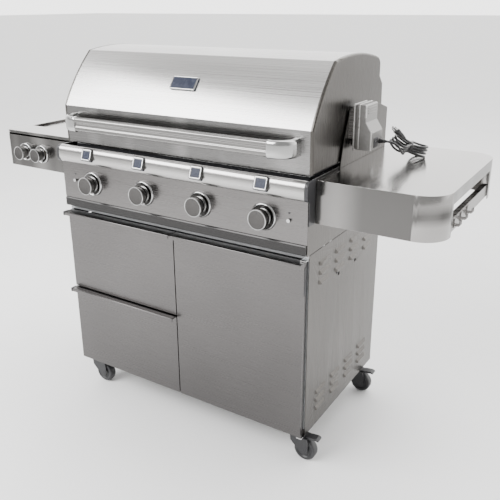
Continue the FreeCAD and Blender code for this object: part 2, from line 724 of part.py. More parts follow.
def bent_sheet(inset, gauge, half):
    """A sheet of the given gauge, bent to the hood's profile at some depth inside it."""
    outer = hood_wire(SKIRT_END)
    if inset:
        outer = outer.makeOffset2D(inset, openResult=True)
    band = outer.makeOffset2D(gauge, fill=True, openResult=True)
    band.translate(FreeCAD.Vector(-half, 0, 0))
    return band.extrude(FreeCAD.Vector(2 * half, 0, 0))


node("hood_skin", feature("hood_skin_sheet", bent_sheet(0, 3, mm("hood_half"))))
node("hood_liner", feature("hood_liner_sheet", bent_sheet(20, 2, mm("hood_half"))))


def hood_cap(side):
    """End plate of the hood, its outer rim rounded, bored for its pivot pin and notched for a spit."""
    foot = hood_profile()[0]
    low_rear = FreeCAD.Vector(0, mm("hood_step_back + 7"), mm("hood_low"))
    mid_rear = FreeCAD.Vector(0, mm("hood_step_back + 5"), mm("hood_low + 128"))
    wire = hood_wire(mid_rear)
    closed = Part.Wire(wire.Edges + [Part.LineSegment(mid_rear, low_rear).toShape(),
                                     Part.LineSegment(low_rear, foot).toShape()])
    rim = closed.makeOffset2D(0.6)
    start = mm("hood_half") if side == "right" else -mm("hood_half + cap_gauge")
    plate = Part.Face(rim)
    plate.translate(FreeCAD.Vector(start, 0, 0))
    solid = plate.extrude(FreeCAD.Vector(mm("cap_gauge"), 0, 0))
    outer = mm("hood_half + cap_gauge") * (1 if side == "right" else -1)
    solid = solid.makeFillet(mm("cap_round"), [edge for edge in solid.Edges
                                               if edge.BoundBox.XLength < 0.01
                                               and abs(edge.CenterOfMass.x - outer) < 0.01
                                               and edge.CenterOfMass.z > mm("hood_low + 5")])
    across = FreeCAD.Vector(start - 1, mm("pivot_back"), mm("pivot_level"))
    bore = Part.makeCylinder(mm("pin_radius + running_gap"), mm("cap_gauge") + 2, across,
                             FreeCAD.Vector(1, 0, 0))
    level = mm("socket_level")
    notch = Part.makeBox(mm("cap_gauge") + 2, 28, level - mm("hood_low") + 4,
                         FreeCAD.Vector(start - 1, -14, mm("hood_low") - 4))
    crown = Part.makeCylinder(14, mm("cap_gauge") + 2, FreeCAD.Vector(start - 1, 0, level),
                              FreeCAD.Vector(1, 0, 0))
    return feature(side + "_cap_plate", solid.cut([bore, notch.fuse(crown)]))


node("hood_caps", pair("hood_cap_pair", hood_cap))

BAR_END = 368
node("handle_bar", pad("handle_extrusion", "x", -BAR_END, BAR_END,
                       [(-320, 1010), (-316, 1006), (-298, 1006), (-298, 1050), (-316, 1050), (-320, 1046),
                        (-320, 1036), (-317, 1033), (-317, 1023), (-320, 1020)]))


def handle_end(side):
    """Cast end of the handle: it sweeps from the bar back to the hood's upright band."""
    sense = 1 if side == "right" else -1
    plan = [(BAR_END, -321), (BAR_END + 34, -318), (BAR_END + 56, -306), (BAR_END + 68, -288),
            (BAR_END + 72, "hood_front"), (BAR_END + 30, "hood_front"), (BAR_END + 27, -274),
            (BAR_END + 16, -290), (BAR_END, -297)]
    casting = pad(side + "_casting", "z", 1001, 1054, [(sense * across, back) for across, back in plan])
    return casting


node("handle_ends", pair("handle_castings", handle_end))


def badge_plate():
    """Blank plate on the hood's curved front."""
    plate = pad("badge_body", "y", -3, 3, [(-48, -23), (48, -23), (48, 23), (-48, 23)])
    soft = rounded("badge_round", plate, 4,
                   lambda middle, edge: abs(abs(middle.x) - 48) < 0.1 and abs(abs(middle.z) - 23) < 0.1)
    lean = FreeCAD.Rotation(FreeCAD.Vector(1, 0, 0), -37.4)
    soft.Placement = FreeCAD.Placement(FreeCAD.Vector(0, -196.6, 1169.9), lean)
    return soft


node("badge_plate", badge_plate())


# ---------------------------------------------------------------- side shelves

def right_shelf():
    """Work shelf: a flat top with a deep apron round its corners and a shallow skirt between them."""
    outside = block("right_shelf_block", ("shelf_inner", "shelf_right"), ("shelf_front", "shelf_rear"),
                    ("apron_low", "shelf_top"))
    inside = block("right_shelf_hollow", ("shelf_inner + 2", "shelf_right - 2"),
                   ("shelf_front + 2", "shelf_rear - 2"), ("apron_low - 1", "shelf_top - 3"))
    front = mm("(shelf_front + shelf_rear) / 2")
    edge_x = mm("shelf_inner + 40")
    shells = []
    for name, base, inset in (("outer", outside, 0), ("inner", inside, 2)):
        fore = rounded(f"right_shelf_{name}_fore", base, f"shelf_fore_round - {inset}",
                       lambda middle, edge: middle.x > edge_x and middle.y < front - 100
                       and edge.BoundBox.ZLength > 50)
        shells.append(rounded(f"right_shelf_{name}_round", fore, f"shelf_aft_round - {inset}",
                              lambda middle, edge: middle.x > edge_x and middle.y > front + 200
                              and edge.BoundBox.ZLength > 50))
    doc.recompute()
    window = block("rail_window", ("shelf_right - 30", "shelf_right + 1"),
                   ("shelf_front + shelf_fore_round + 5", "shelf_rear - shelf_aft_round - 13"),
                   ("apron_low - 1", "shelf_top - skirt_drop"))
    return cut("right_shelf_solid", shells[0], [shells[1], window])


node("right_shelf", right_shelf())

HOOK_PLACES = (-118, -52, 14)


def tool_rail():
    """Flat rail across the shelf's open end, with a double tool hook at each place."""
    start, end = "shelf_front + shelf_fore_round - 10", "shelf_rear - shelf_aft_round - 1"
    flange = block("rail_flange", ("rail_face - 18", "rail_face"), (start, end), ("rail_top - 2", "rail_top"))
    face = block("rail_plate", ("rail_face - 2", "rail_face"), (start, end), ("rail_low", "rail_top"))
    pieces = [flange, face]
    for number, back in enumerate((start, f"{end} - 12")):
        pieces.append(block(f"rail_hanger_{number}", ("rail_face - 18", "rail_face - 16"),
                            (back, f"{back} + 12"), ("rail_top - 1", "shelf_top - 3")))
    for number, back in enumerate(HOOK_PLACES):
        pieces.append(block(f"hook_plate_{number}", ("rail_face", "rail_face + 3"), (back - 10, back + 10),
                            ("hook_level - 13", "hook_level + 13")))
        for prong in (-6, 6):
            pieces.append(pad(f"hook_{number}_{prong + 6}", "y", back + prong - 2, back + prong + 2,
                              [("rail_face + 2", "hook_level - 8"), ("rail_face + 14", "hook_level - 8"),
                               ("rail_face + 18", "hook_level - 4"), ("rail_face + 18", "hook_level + 7"),
                               ("rail_face + 14", "hook_level + 7"), ("rail_face + 14", "hook_level - 3"),
                               ("rail_face + 13", "hook_level - 4"), ("rail_face + 2", "hook_level - 4")]))
    return fuse("tool_rail_solid", pieces)


node("tool_rail", tool_rail())

WELL = {"left": "30 - shelf_left", "right": "-1 * shelf_inner - 18", "front": "left_front + 104",
        "rear": "shelf_rear - 16"}
LID_PIN = ("shelf_rear - 29", "left_top - lid_sink - 7")


def left_corner(name, base, inset):
    """Round the shelf's front outer corner."""
    return rounded(name, base, f"left_round - {inset}",
                   lambda middle, edge: middle.x < mm("-1 * shelf_inner - 200") and middle.y < 0
                   and edge.BoundBox.ZLength > 50)


def left_shelf():
    """Side burner shelf: a framed top round a well, an apron and a set-back front fascia."""
    left, right = "-1 * shelf_left", "-1 * shelf_inner"
    solid = block("left_shelf_block", (left, right), ("left_front", "shelf_rear"), ("left_low", "left_top"))
    hollow = block("left_shelf_hollow", (f"{left} + 2", f"{right} - 2"), ("left_front + 2", "shelf_rear - 2"),
                   ("left_low - 1", "left_top - 3"))
    outside = left_corner("left_shelf_outer", solid, 0)
    inside = left_corner("left_shelf_inner", hollow, 2)
    mouth = block("well_mouth", (WELL["left"], WELL["right"]), (WELL["front"], WELL["rear"]),
                  ("left_top - 5", "left_top + 1"))
    front_gap = block("fascia_gap", (f"{left} - 1", f"{right} + 1"), ("left_front - 1", "fascia_front"),
                      ("left_low - 1", "left_top - left_lip"))
    frame = cut("left_shelf_frame", outside, [inside, mouth, front_gap])
    fascia_top = "left_top - left_lip - left_recess"
    fascia = pad("left_fascia", "y", "fascia_front", "fascia_front + 3",
                 [(f"{left} + 6", "left_low"), (right, "left_low"), (right, fascia_top),
                  (f"{left} + 6", fascia_top)],
                 circles=[(place, "side_knob_level", 9) for place in SIDE_KNOB_PLACES.values()])
    rim = block("well_rim", (f"{WELL['left']} - 1.5", f"{WELL['right']} + 1.5"),
                (f"{WELL['front']} - 1.5", f"{WELL['rear']} + 1.5"), ("left_top - 13", "left_top - 3"))
    rim_hole = block("well_rim_hole", (WELL["left"], WELL["right"]), (WELL["front"], WELL["rear"]),
                     ("left_top - 14", "left_top - 2"))
    flange = block("well_flange", (f"{left} + 2", f"{right} - 2"), ("fascia_front + 20", "shelf_rear - 2"),
                   ("left_top - 32", "left_top - 30"))
    hole = block("flange_hole", (f"{WELL['left']} + 6", f"{WELL['right']} - 6"),
                 (f"{WELL['front']} + 6", f"{WELL['rear']} - 6"), ("left_top - 33", "left_top - 29"))
    spans = ((f"{left} + 2", f"{WELL['left']} + 14"), (f"{WELL['right']} - 14", f"{right} - 2"))
    pins = [rod(f"lid_pin_{number}", "x", 3, low, high, LID_PIN)
            for number, (low, high) in enumerate(spans)]
    return fuse("left_shelf_solid", [frame, fascia, cut("well_wall", rim, [rim_hole]),
                                     cut("well_ledge", flange, [hole])] + pins)


node("left_shelf", left_shelf())


def side_burner():
    """Bowl under the lid with a round burner head and a cross-bar pan support."""
    low, top = "left_top - 72", "left_top - 32"
    left, right = f"{WELL['left']} + 6", f"{WELL['right']} - 6"
    front, rear = f"{WELL['front']} + 6", f"{WELL['rear']} - 6"
    bowl = cut("burner_bowl", block("bowl_outside", (left, right), (front, rear), (low, top)),
               [block("bowl_inside", (f"{left} + 2", f"{right} - 2"), (f"{front} + 2", f"{rear} - 2"),
                      (f"{low} + 2", f"{top} + 1"))])
    centre = ("(shelf_left + shelf_inner) / -2", f"({WELL['front']} + {WELL['rear']}) / 2")
    head = fuse("burner_head", [rod("burner_base", "z", 46, f"{low} + 2", f"{low} + 20", centre),
                                rod("burner_cap", "z", 34, f"{low} + 20", f"{low} + 28", centre)])
    bars = [block(f"support_bar_{number}", (f"{left} + 2", f"{right} - 2"),
                  (f"{front} + {70 + 90 * number}", f"{front} + {76 + 90 * number}"),
                  ("left_top - 42", "left_top - 33"))
            for number in range(4)]
    return fuse("side_burner_solid", [bowl, head] + bars)


node("side_burner", side_burner())


def side_lid():
    """Flat lid over the side burner: a shallow pan turned over, on two pins at its back."""
    left, right = f"{WELL['left']} + 3", f"{WELL['right']} - 3"
    front, rear = f"{WELL['front']} + 3", f"{WELL['rear']} - 5"
    top = "left_top - lid_sink"
    outside = block("lid_outside", (left, right), (front, rear), (f"{top} - lid_height", top))
    inside = block("lid_inside", (f"{left} + 13", f"{right} - 13"), (f"{front} + 2", f"{rear} - 20"),
                   (f"{top} - lid_height - 1", f"{top} - 2"))
    spans = ((f"{left} - 1", f"{left} + 12.5"), (f"{right} - 12.5", f"{right} + 1"))
    bores = [rod(f"lid_bore_{number}", "x", "3 + running_gap", low, high, LID_PIN)
             for number, (low, high) in enumerate(spans)]
    return cut("lid_solid", outside, [inside] + bores)


node("side_burner_lid", side_lid())


# ---------------------------------------------------------------- rotisserie motor and its lead

def motor_bracket():
    """Channel that stands the motor off the right wing plate."""
    inner = "half_width + 3"
    span = (-34, 34)
    back = cut("bracket_web", block("bracket_plate", ("motor_inner - 3", "motor_inner"), span,
                                    ("motor_low - 6", "motor_high - 6")),
               [rod("bracket_hole", "x", 14, "motor_inner - 4", "motor_inner + 1", (0, "socket_level"))])
    legs = [block(f"bracket_leg_{number}", (inner, "motor_inner - 3"), depth,
                  ("motor_low + 30", "motor_high - 20"))
            for number, depth in enumerate(((-34, -31), (31, 34)))]
    return fuse("motor_bracket_solid", [back] + legs)


node("motor_bracket", motor_bracket())


def motor_housing():
    """Two-part housing: a back cover and a deeper front cover that flares out at its foot."""
    half = "motor_half_depth"
    back = block("motor_back_cover", ("motor_inner", "motor_inner + 9"), (f"2 - {half}", f"{half} - 2"),
                 ("motor_low + 2", "motor_high - 3"))
    front = pad("motor_front_cover", "y", f"-1 * {half}", half,
                [("motor_inner + 9", "motor_low"), ("motor_outer", "motor_low"),
                 ("motor_outer", "motor_low + 52"),
                 ("motor_upper", "motor_low + 82"), ("motor_upper", "motor_high - 4"),
                 ("motor_upper - 4", "motor_high"), ("motor_inner + 9", "motor_high")])
    inside = pad("motor_cavity", "y", f"3 - {half}", f"{half} - 3",
                 [("motor_inner + 3", "motor_low + 3"), ("motor_outer - 3", "motor_low + 3"),
                  ("motor_outer - 3", "motor_low + 51"), ("motor_upper - 3", "motor_low + 81"),
                  ("motor_upper - 3", "motor_high - 6"), ("motor_inner + 3", "motor_high - 6")])
    socket = rod("socket_bore", "x", "9 + running_gap", "motor_inner - 1", "motor_inner + 4",
                 (0, "socket_level"))
    switch_hole = block("switch_hole", ("motor_outer - 4", "motor_outer + 1"), (-20, -2),
                        ("motor_low + 12", "motor_low + 28"))
    return cut("motor_housing_solid", fuse("motor_covers", [back, front]), [inside, socket, switch_hole])


node("motor_housing", motor_housing())


def drive_socket():
    """Turning socket with a square hole for the spit."""
    barrel = rod("socket_barrel", "x", 9, "motor_inner - 16", "motor_inner + 12", (0, "socket_level"))
    collar = rod("socket_collar", "x", 11.5, "motor_inner + 4", "motor_inner + 8", (0, "socket_level"))
    square = block("socket_square", ("motor_inner - 17", "motor_inner + 4"), (-4, 4),
                   ("socket_level - 4", "socket_level + 4"))
    return cut("drive_socket_solid", fuse("socket_body", [barrel, collar]), [square])


node("drive_socket", drive_socket())


def motor_switch():
    """Rocker switch in the foot of the motor housing."""
    rocker = pad("rocker", "y", -19, -3,
                 [("motor_outer - 5", "motor_low + 14"), ("motor_outer + 1", "motor_low + 14"),
                  ("motor_outer + 0.2", "motor_low + 20"), ("motor_outer + 3", "motor_low + 26"),
                  ("motor_outer - 5", "motor_low + 26")])
    return rocker


node("motor_switch", motor_switch())


def strain_relief():
    """Tapered rubber sleeve where the lead leaves the motor."""
    sleeve = doc.addObject("Part::Cone", "relief_cone")
    sleeve.Radius1 = 8
    sleeve.setExpression("Radius2", bound("cord_diameter / 2 + 1"))
    sleeve.setExpression("Height", bound("relief_length"))
    sleeve.Placement = FreeCAD.Placement(FreeCAD.Vector(mm("motor_outer"), mm("cord_exit_back"),
                                                        mm("cord_exit_level")), TURN["x"])
    return sleeve


node("strain_relief", strain_relief())

# The lead's route from the sleeve to the top of the hank, one point for each change of direction.
HANK_TOP = FreeCAD.Vector(590, 58, 1004)
ROUTE = [FreeCAD.Vector(582, 22, 1011), FreeCAD.Vector(594, 23, 1011), FreeCAD.Vector(597, 40, 1009),
         HANK_TOP]


def rounded_path(points):
    """Straight runs joined by tangent arcs, each arc as large as its two runs allow."""
    edges = []
    place = points[0]
    for before, corner, after in zip(points, points[1:], points[2:]):
        come = (corner - before)
        leave = (after - corner)
        turn = come.getAngle(leave)
        radius = 0.45 * min(come.Length, leave.Length) / math.tan(turn / 2)
        reach = radius * math.tan(turn / 2)
        come.normalize()
        leave.normalize()
        start = corner - come * reach
        end = corner + leave * reach
        inward = leave - come
        inward.normalize()
        centre = corner + inward * (radius / math.cos(turn / 2))
        middle = centre - inward * radius
        edges.append(Part.LineSegment(place, start).toShape())
        edges.append(Part.Arc(start, middle, end).toShape())
        print("cord arc radius", round(radius, 1))
        place = end
    edges.append(Part.LineSegment(place, points[-1]).toShape())
    return Part.Wire(edges)


def cord_tube():
    path = rounded_path(ROUTE)
    radius = mm("cord_diameter") / 2
    section = Part.Wire(Part.makeCircle(radius, ROUTE[0], ROUTE[1] - ROUTE[0]))
    tube = path.makePipeShell([section], True, False)
    expected = math.pi * radius * radius * path.Length
    print("cord tube volume", round(tube.Volume), "expected", round(expected), "length", round(path.Length))
    return feature("cord_tube", tube)


node("power_cord", cord_tube())

HANK_FOOT = FreeCAD.Vector(641, 196, 955.5)


def hank_frame():
    """Placement whose X runs down the hank, whose Y runs across it and whose Z is its thickness."""
    along = HANK_FOOT - HANK_TOP
    across = FreeCAD.Vector(0, 0, 1).cross(along)
    return FreeCAD.Placement(HANK_TOP, FreeCAD.Rotation(along, across, FreeCAD.Vector(), "XYZ")), along.Length


def cord_hank():
    """Outer shape of the folded and tied lead."""
    place, length = hank_frame()
    half, thick = 30, 30
    slab = Part.makeBox(length - 2, 2 * half, thick, FreeCAD.Vector(0, -half, -thick / 2))
    ends = [edge for edge in slab.Edges if edge.BoundBox.ZLength > 20 and edge.BoundBox.XLength < 1]
    slab = slab.makeFillet(24, ends)
    slab = slab.makeFillet(5, [edge for edge in slab.Edges if abs(edge.BoundBox.ZLength) < 0.01])
    solid = slab.transformGeometry(place.toMatrix())
    return feature("hank_solid", solid)


node("cord_hank", cord_hank())


PLUG_REAR = FreeCAD.Vector(614, 86, 1012)
PLUG_WAY = FreeCAD.Vector(-0.43, -0.64, 0.64)


def cord_plug():
    """Moulded plug with two flat blades and an earth pin, propped up on the hank's top end."""
    body = Part.makeBox(42, 24, 17, FreeCAD.Vector(0, -12, -8.5))
    body = body.makeFillet(5, [edge for edge in body.Edges if edge.BoundBox.XLength > 30])
    blades = [Part.makeBox(18, 1.6, 6.5, FreeCAD.Vector(40, across, -1)) for across in (-7.2, 5.6)]
    pin = Part.makeCylinder(2.4, 20, FreeCAD.Vector(40, 0, -4.5), FreeCAD.Vector(1, 0, 0))
    across = FreeCAD.Vector(0, 0, 1).cross(PLUG_WAY)
    place = FreeCAD.Placement(PLUG_REAR, FreeCAD.Rotation(PLUG_WAY, across, FreeCAD.Vector(), "XYZ"))
    solid = body.fuse(blades + [pin]).transformGeometry(place.toMatrix())
    return feature("plug_solid", solid)


node("cord_plug", cord_plug())


# ---------------------------------------------------------------- casters

def caster_fork(name, across, back):
    """Swivel fork with its axle and a brake pedal, turning on the base's kingpin."""
    axle = f"{across} + caster_trail"
    collar = rod(name + "_collar", "z", 17, "cart_bottom - 29", "cart_bottom - 6", (across, back))
    crown = block(name + "_crown", (f"{across} - 20", f"{across} + 40"), (f"{back} - 20", f"{back} + 20"),
                  ("cart_bottom - 30", "cart_bottom - 24"))
    cheeks = [pad(f"{name}_cheek_{number}", "y", f"{back} + {low}", f"{back} + {low + 4}",
                  [(f"{across} - 20", "cart_bottom - 24"), (f"{across} - 18", "cart_bottom - 44"),
                   (f"{axle} - 13", "wheel_radius - 8"), (f"{axle} - 6", "wheel_radius - 12"),
                   (f"{axle} + 6", "wheel_radius - 12"), (f"{axle} + 13", "wheel_radius - 8"),
                   (f"{axle} + 16", "cart_bottom - 44"), (f"{axle} + 10", "cart_bottom - 24")])
              for number, low in enumerate((-20, 16))]
    pedal = pad(name + "_pedal", "y", f"{back} - 13", f"{back} + 13",
                [(f"{across} + 22", "cart_bottom - 22"), (f"{across} + 48", "cart_bottom - 17"),
                 (f"{across} + 70", "cart_bottom - 15"), (f"{across} + 77", "cart_bottom - 18"),
                 (f"{across} + 78", "cart_bottom - 23"), (f"{across} + 70", "cart_bottom - 22"),
                 (f"{across} + 48", "cart_bottom - 26"), (f"{across} + 22", "cart_bottom - 30")])
    shaft = rod(name + "_axle", "y", 4, f"{back} - 21", f"{back} + 21", (axle, "wheel_radius"))
    solid = fuse(name + "_solid", [collar, crown] + cheeks + [pedal, shaft])
    bore = rod(name + "_bore", "z", "6 + running_gap", "cart_bottom - 31", "cart_bottom - 5", (across, back))
    return cut(name + "_bored", solid, [bore])


def caster_wheel(name, across, back):
    """Wheel with a rounded tread and a hub bored for the axle."""
    half = "wheel_width / 2"
    outline = [("4 + running_gap", f"-1 * {half} - 2"), (10, f"-1 * {half} - 2"), (12, f"-1 * {half} + 3"),
               ("wheel_radius - 10", f"-1 * {half} + 3"), ("wheel_radius - 7", f"-1 * {half}"),
               ("wheel_radius - 3", f"-1 * {half}"), ("wheel_radius", f"-1 * {half} + 4"),
               ("wheel_radius", f"{half} - 4"), ("wheel_radius - 3", half), ("wheel_radius - 7", half),
               ("wheel_radius - 10", f"{half} - 3"), (12, f"{half} - 3"), (10, f"{half} + 2"),
               ("4 + running_gap", f"{half} + 2")]
    wheel = turned(name + "_tread", outline, f"{across} + caster_trail", "wheel_radius")
    wheel.setExpression(".Placement.Base.y", bound(f"({back}) + 0"))
    return wheel


for side, sense in (("left", -1), ("right", 1)):
    for end, line in (("front", "caster_front"), ("rear", "caster_rear")):
        name = f"{end}_{side}"
        across = f"{sense} * caster_x"
        node(name + "_fork", caster_fork(name + "_fork", across, line))
        node(name + "_wheel", caster_wheel(name + "_wheel", across, line))


# ---------------------------------------------------------------- check and export

doc.recompute()
for thing in doc.Objects:
    if "Invalid" in thing.State or "Error" in thing.State:
        raise RuntimeError(f"{thing.Name} failed: {thing.State}")
for thing in nodes:
    if thing.Shape.isNull() or not thing.Shape.isValid():
        raise RuntimeError(thing.Label + " has no valid shape")
os.makedirs("parts", exist_ok=True)
for thing in nodes:
    thing.Shape.exportStep(f"parts/{thing.Label}.step")
box = Part.makeCompound([thing.Shape for thing in nodes]).BoundBox
print(len(nodes), "nodes; size", round(box.XLength, 1), round(box.YLength, 1), round(box.ZLength, 1))
print("x", round(box.XMin, 1), round(box.XMax, 1), "y", round(box.YMin, 1), round(box.YMax, 1))
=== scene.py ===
import bpy
import bmesh
import math
from mathutils import Euler, Matrix, Vector


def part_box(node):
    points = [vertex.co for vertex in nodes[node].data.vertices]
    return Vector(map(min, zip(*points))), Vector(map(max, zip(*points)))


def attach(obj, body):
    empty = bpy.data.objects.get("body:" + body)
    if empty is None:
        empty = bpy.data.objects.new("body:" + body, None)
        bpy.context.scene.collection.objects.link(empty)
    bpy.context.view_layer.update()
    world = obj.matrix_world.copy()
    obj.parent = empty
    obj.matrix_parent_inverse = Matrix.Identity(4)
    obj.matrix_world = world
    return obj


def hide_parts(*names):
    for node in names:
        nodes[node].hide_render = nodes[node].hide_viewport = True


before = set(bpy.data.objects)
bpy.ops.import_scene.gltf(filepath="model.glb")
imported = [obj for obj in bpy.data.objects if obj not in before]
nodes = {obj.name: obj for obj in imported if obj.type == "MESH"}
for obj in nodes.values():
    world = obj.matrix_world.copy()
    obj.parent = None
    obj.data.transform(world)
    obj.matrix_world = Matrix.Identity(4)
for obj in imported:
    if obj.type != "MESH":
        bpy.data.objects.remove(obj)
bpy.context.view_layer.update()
MM = 0.001
CASTERS = [f"{end}_{side}" for end in ("front", "rear") for side in ("left", "right")]


# ---------------------------------------------------------------- camera

EYE = Vector((1.2323, -1.78625, 1.40479))
EYE_TURN = (70.76255, 0.29393, 32.12904)  # degrees: tilt up from straight down, roll, heading

camera_data = bpy.data.cameras.new("camera")
camera_data.sensor_width = 36.0
camera_data.lens = 45.99
camera_data.shift_x = 0.00375
camera_data.shift_y = -0.0498
camera_data.clip_end = 200
camera = bpy.data.objects.new("camera", camera_data)
bpy.context.scene.collection.objects.link(camera)
camera.matrix_world = Matrix.LocRotScale(EYE, Euler([math.radians(angle) for angle in EYE_TURN]), None)
bpy.context.scene.camera = camera


# ---------------------------------------------------------------- material helpers

def wire(tree, source, target):
    """Join two sockets."""
    tree.links.new(source, target)


def blank(name):
    """A new material with its tree, its shader and the object's own coordinates."""
    material = bpy.data.materials.new(name)
    material.use_nodes = True
    tree = material.node_tree
    shader = tree.nodes["Principled BSDF"]
    coordinates = tree.nodes.new("ShaderNodeTexCoord").outputs["Object"]
    return material, tree, shader, coordinates


def noise(tree, coordinates, scale, detail=3.0, stretch=(1, 1, 1)):
    """Noise between 0 and 1 whose grain may be stretched along an axis."""
    mapping = tree.nodes.new("ShaderNodeMapping")
    mapping.inputs["Scale"].default_value = stretch
    wire(tree, coordinates, mapping.inputs["Vector"])
    texture = tree.nodes.new("ShaderNodeTexNoise")
    texture.inputs["Scale"].default_value = scale
    texture.inputs["Detail"].default_value = detail
    wire(tree, mapping.outputs["Vector"], texture.inputs["Vector"])
    return texture.outputs["Fac"]


def spread(tree, value, low, high, start=0.3, end=0.7):
    """Carry a 0 to 1 value to a low to high range."""
    reach = tree.nodes.new("ShaderNodeMapRange")
    for socket, number in (("From Min", start), ("From Max", end), ("To Min", low), ("To Max", high)):
        reach.inputs[socket].default_value = number
    wire(tree, value, reach.inputs["Value"])
    return reach.outputs["Result"]


def blend(tree, factor, first, second, way="MIX"):
    """Mix two colours, each a socket or three numbers."""
    mix = tree.nodes.new("ShaderNodeMix")
    mix.data_type = "RGBA"
    mix.blend_type = way
    if isinstance(factor, (int, float)):
        mix.inputs[0].default_value = factor
    else:
        wire(tree, factor, mix.inputs[0])
    for socket, colour in ((mix.inputs[6], first), (mix.inputs[7], second)):
        if isinstance(colour, (tuple, list)):
            socket.default_value = (*colour, 1)
        else:
            wire(tree, colour, socket)
    return mix.outputs[2]


def tint(shade, factor, lift=0.0):
    """A colour made lighter or darker."""
    return tuple(min(1, channel * factor + lift) for channel in shade)


def worn_edges(tree, radius):
    """1 along the edges of the piece and 0 on its faces."""
    bevel = tree.nodes.new("ShaderNodeBevel")
    bevel.samples = 3
    bevel.inputs["Radius"].default_value = radius
    geometry = tree.nodes.new("ShaderNodeNewGeometry")
    dot = tree.nodes.new("ShaderNodeVectorMath")
    dot.operation = "DOT_PRODUCT"
    wire(tree, bevel.outputs["Normal"], dot.inputs[0])
    wire(tree, geometry.outputs["Normal"], dot.inputs[1])
    return spread(tree, dot.outputs["Value"], 1, 0, 0.86, 0.995)


def roughen(tree, shader, height, strength, distance):
    """Bump the surface by a height."""
    bump = tree.nodes.new("ShaderNodeBump")
    bump.inputs["Strength"].default_value = strength
    bump.inputs["Distance"].default_value = distance
    wire(tree, height, bump.inputs["Height"])
    wire(tree, bump.outputs["Normal"], shader.inputs["Normal"])


def upright_faces(tree):
    """1 on faces that stand upright in the piece's own frame, and 0 on level or sloping ones: the mask for
    painted shade.
    """
    split = tree.nodes.new("ShaderNodeSeparateXYZ")
    wire(tree, tree.nodes.new("ShaderNodeTexCoord").outputs["Normal"], split.inputs[0])
    size = tree.nodes.new("ShaderNodeMath")
    size.operation = "ABSOLUTE"
    wire(tree, split.outputs["Z"], size.inputs[0])
    return spread(tree, size.outputs["Value"], 1, 0, 0.02, 0.12)


GRAIN = {"x": (2, 600, 600), "y": (600, 2, 600), "z": (600, 600, 2)}


def brushed(name, shade, rough, grain="x", cloud=0.1, streak=0.06, upright=1.0, painted_highlight_strength=0.0):
    """Brushed sheet steel: grain along one axis, soft clouding, brighter edges, and painted shade on upright
    faces crossed by painted highlight bands.
    """
    material, tree, shader, coordinates = blank(name)
    lines = noise(tree, coordinates, 1.0, 3.0, GRAIN[grain])
    bands = noise(tree, coordinates, 0.16, 2.0, GRAIN[grain])
    clouds = noise(tree, coordinates, 2.2, 2.0)
    light = tint(shade, 1 + streak)
    colour = blend(tree, spread(tree, lines, 0, 1), tint(shade, 1 - streak), light)
    colour = blend(tree, spread(tree, bands, 0, 0.06), colour, light)
    colour = blend(tree, spread(tree, clouds, 0, cloud), colour, tint(shade, 0.5))
    # Painted shade: upright faces take a darker copy of the colour, with painted highlight bands of the full
    # colour running up them.
    if upright < 1:
        painted_highlight_bands = spread(tree, noise(tree, coordinates, 7, 1.0, (1, 1, 0.02)), 0, painted_highlight_strength, 0.5, 0.68)
        wall = blend(tree, painted_highlight_bands, tint(shade, upright), shade)
        colour = blend(tree, upright_faces(tree), colour, wall)
    edge = worn_edges(tree, 0.0012)
    colour = blend(tree, spread(tree, edge, 0, 0.55, 0, 1), colour, tint(shade, 1.5))
    wire(tree, colour, shader.inputs["Base Color"])
    wire(tree, spread(tree, lines, rough - 0.05, rough + 0.07), shader.inputs["Roughness"])
    shader.inputs["Metallic"].default_value = 1.0
    shader.inputs["Anisotropic"].default_value = 0.35
    roughen(tree, shader, lines, 0.04, 0.0002)
    return material


def chromed(name, shade, rough=0.09):
    """Polished plating with faint smears."""
    material, tree, shader, coordinates = blank(name)
    smear = noise(tree, coordinates, 40, 3.0, (1, 3, 1))
    wire(tree, blend(tree, smear, tint(shade, 0.9), shade), shader.inputs["Base Color"])
    wire(tree, spread(tree, smear, rough, rough + 0.08), shader.inputs["Roughness"])
    shader.inputs["Metallic"].default_value = 1.0
    roughen(tree, shader, noise(tree, coordinates, 300, 2.0), 0.03, 0.0001)
    return material


def spun(name, shade, rough):
    """Turned metal: rings about the piece's own Y axis."""
    material, tree, shader, coordinates = blank(name)
    flat = tree.nodes.new("ShaderNodeVectorMath")
    flat.operation = "MULTIPLY"
    flat.inputs[1].default_value = (1, 0, 1)
    wire(tree, coordinates, flat.inputs[0])
    radius = tree.nodes.new("ShaderNodeVectorMath")
    radius.operation = "LENGTH"
    wire(tree, flat.outputs["Vector"], radius.inputs[0])
    rings = noise(tree, radius.outputs["Value"], 2600, 2.0)
    tangent = tree.nodes.new("ShaderNodeTangent")
    tangent.direction_type = "RADIAL"
    tangent.axis = "Y"
    wire(tree, tangent.outputs["Tangent"], shader.inputs["Tangent"])
    wire(tree, blend(tree, rings, tint(shade, 0.75), shade), shader.inputs["Base Color"])
    wire(tree, spread(tree, rings, rough - 0.05, rough + 0.08), shader.inputs["Roughness"])
    shader.inputs["Metallic"].default_value = 1.0
    shader.inputs["Anisotropic"].default_value = 0.7
    roughen(tree, shader, rings, 0.1, 0.0001)
    return material


def moulded(name, shade, rough, grain=900, bump=0.25, sheen=0.0, wear=(0.10, 0.10, 0.10)):
    """Moulded plastic or rubber: a fine pebbled skin, dust in patches and paler worn edges."""
    material, tree, shader, coordinates = blank(name)
    skin = noise(tree, coordinates, grain, 2.0)
    patches = noise(tree, coordinates, 9, 3.0)
    colour = blend(tree, spread(tree, patches, 0, 0.35), shade, tint(shade, 1.7, 0.004))
    colour = blend(tree, spread(tree, worn_edges(tree, 0.0008), 0, 0.6, 0, 1), colour, wear)
    wire(tree, colour, shader.inputs["Base Color"])
    wire(tree, spread(tree, patches, rough - 0.08, rough + 0.1), shader.inputs["Roughness"])
    shader.inputs["Sheen Weight"].default_value = sheen
    roughen(tree, shader, skin, bump, 0.00015)
    return material


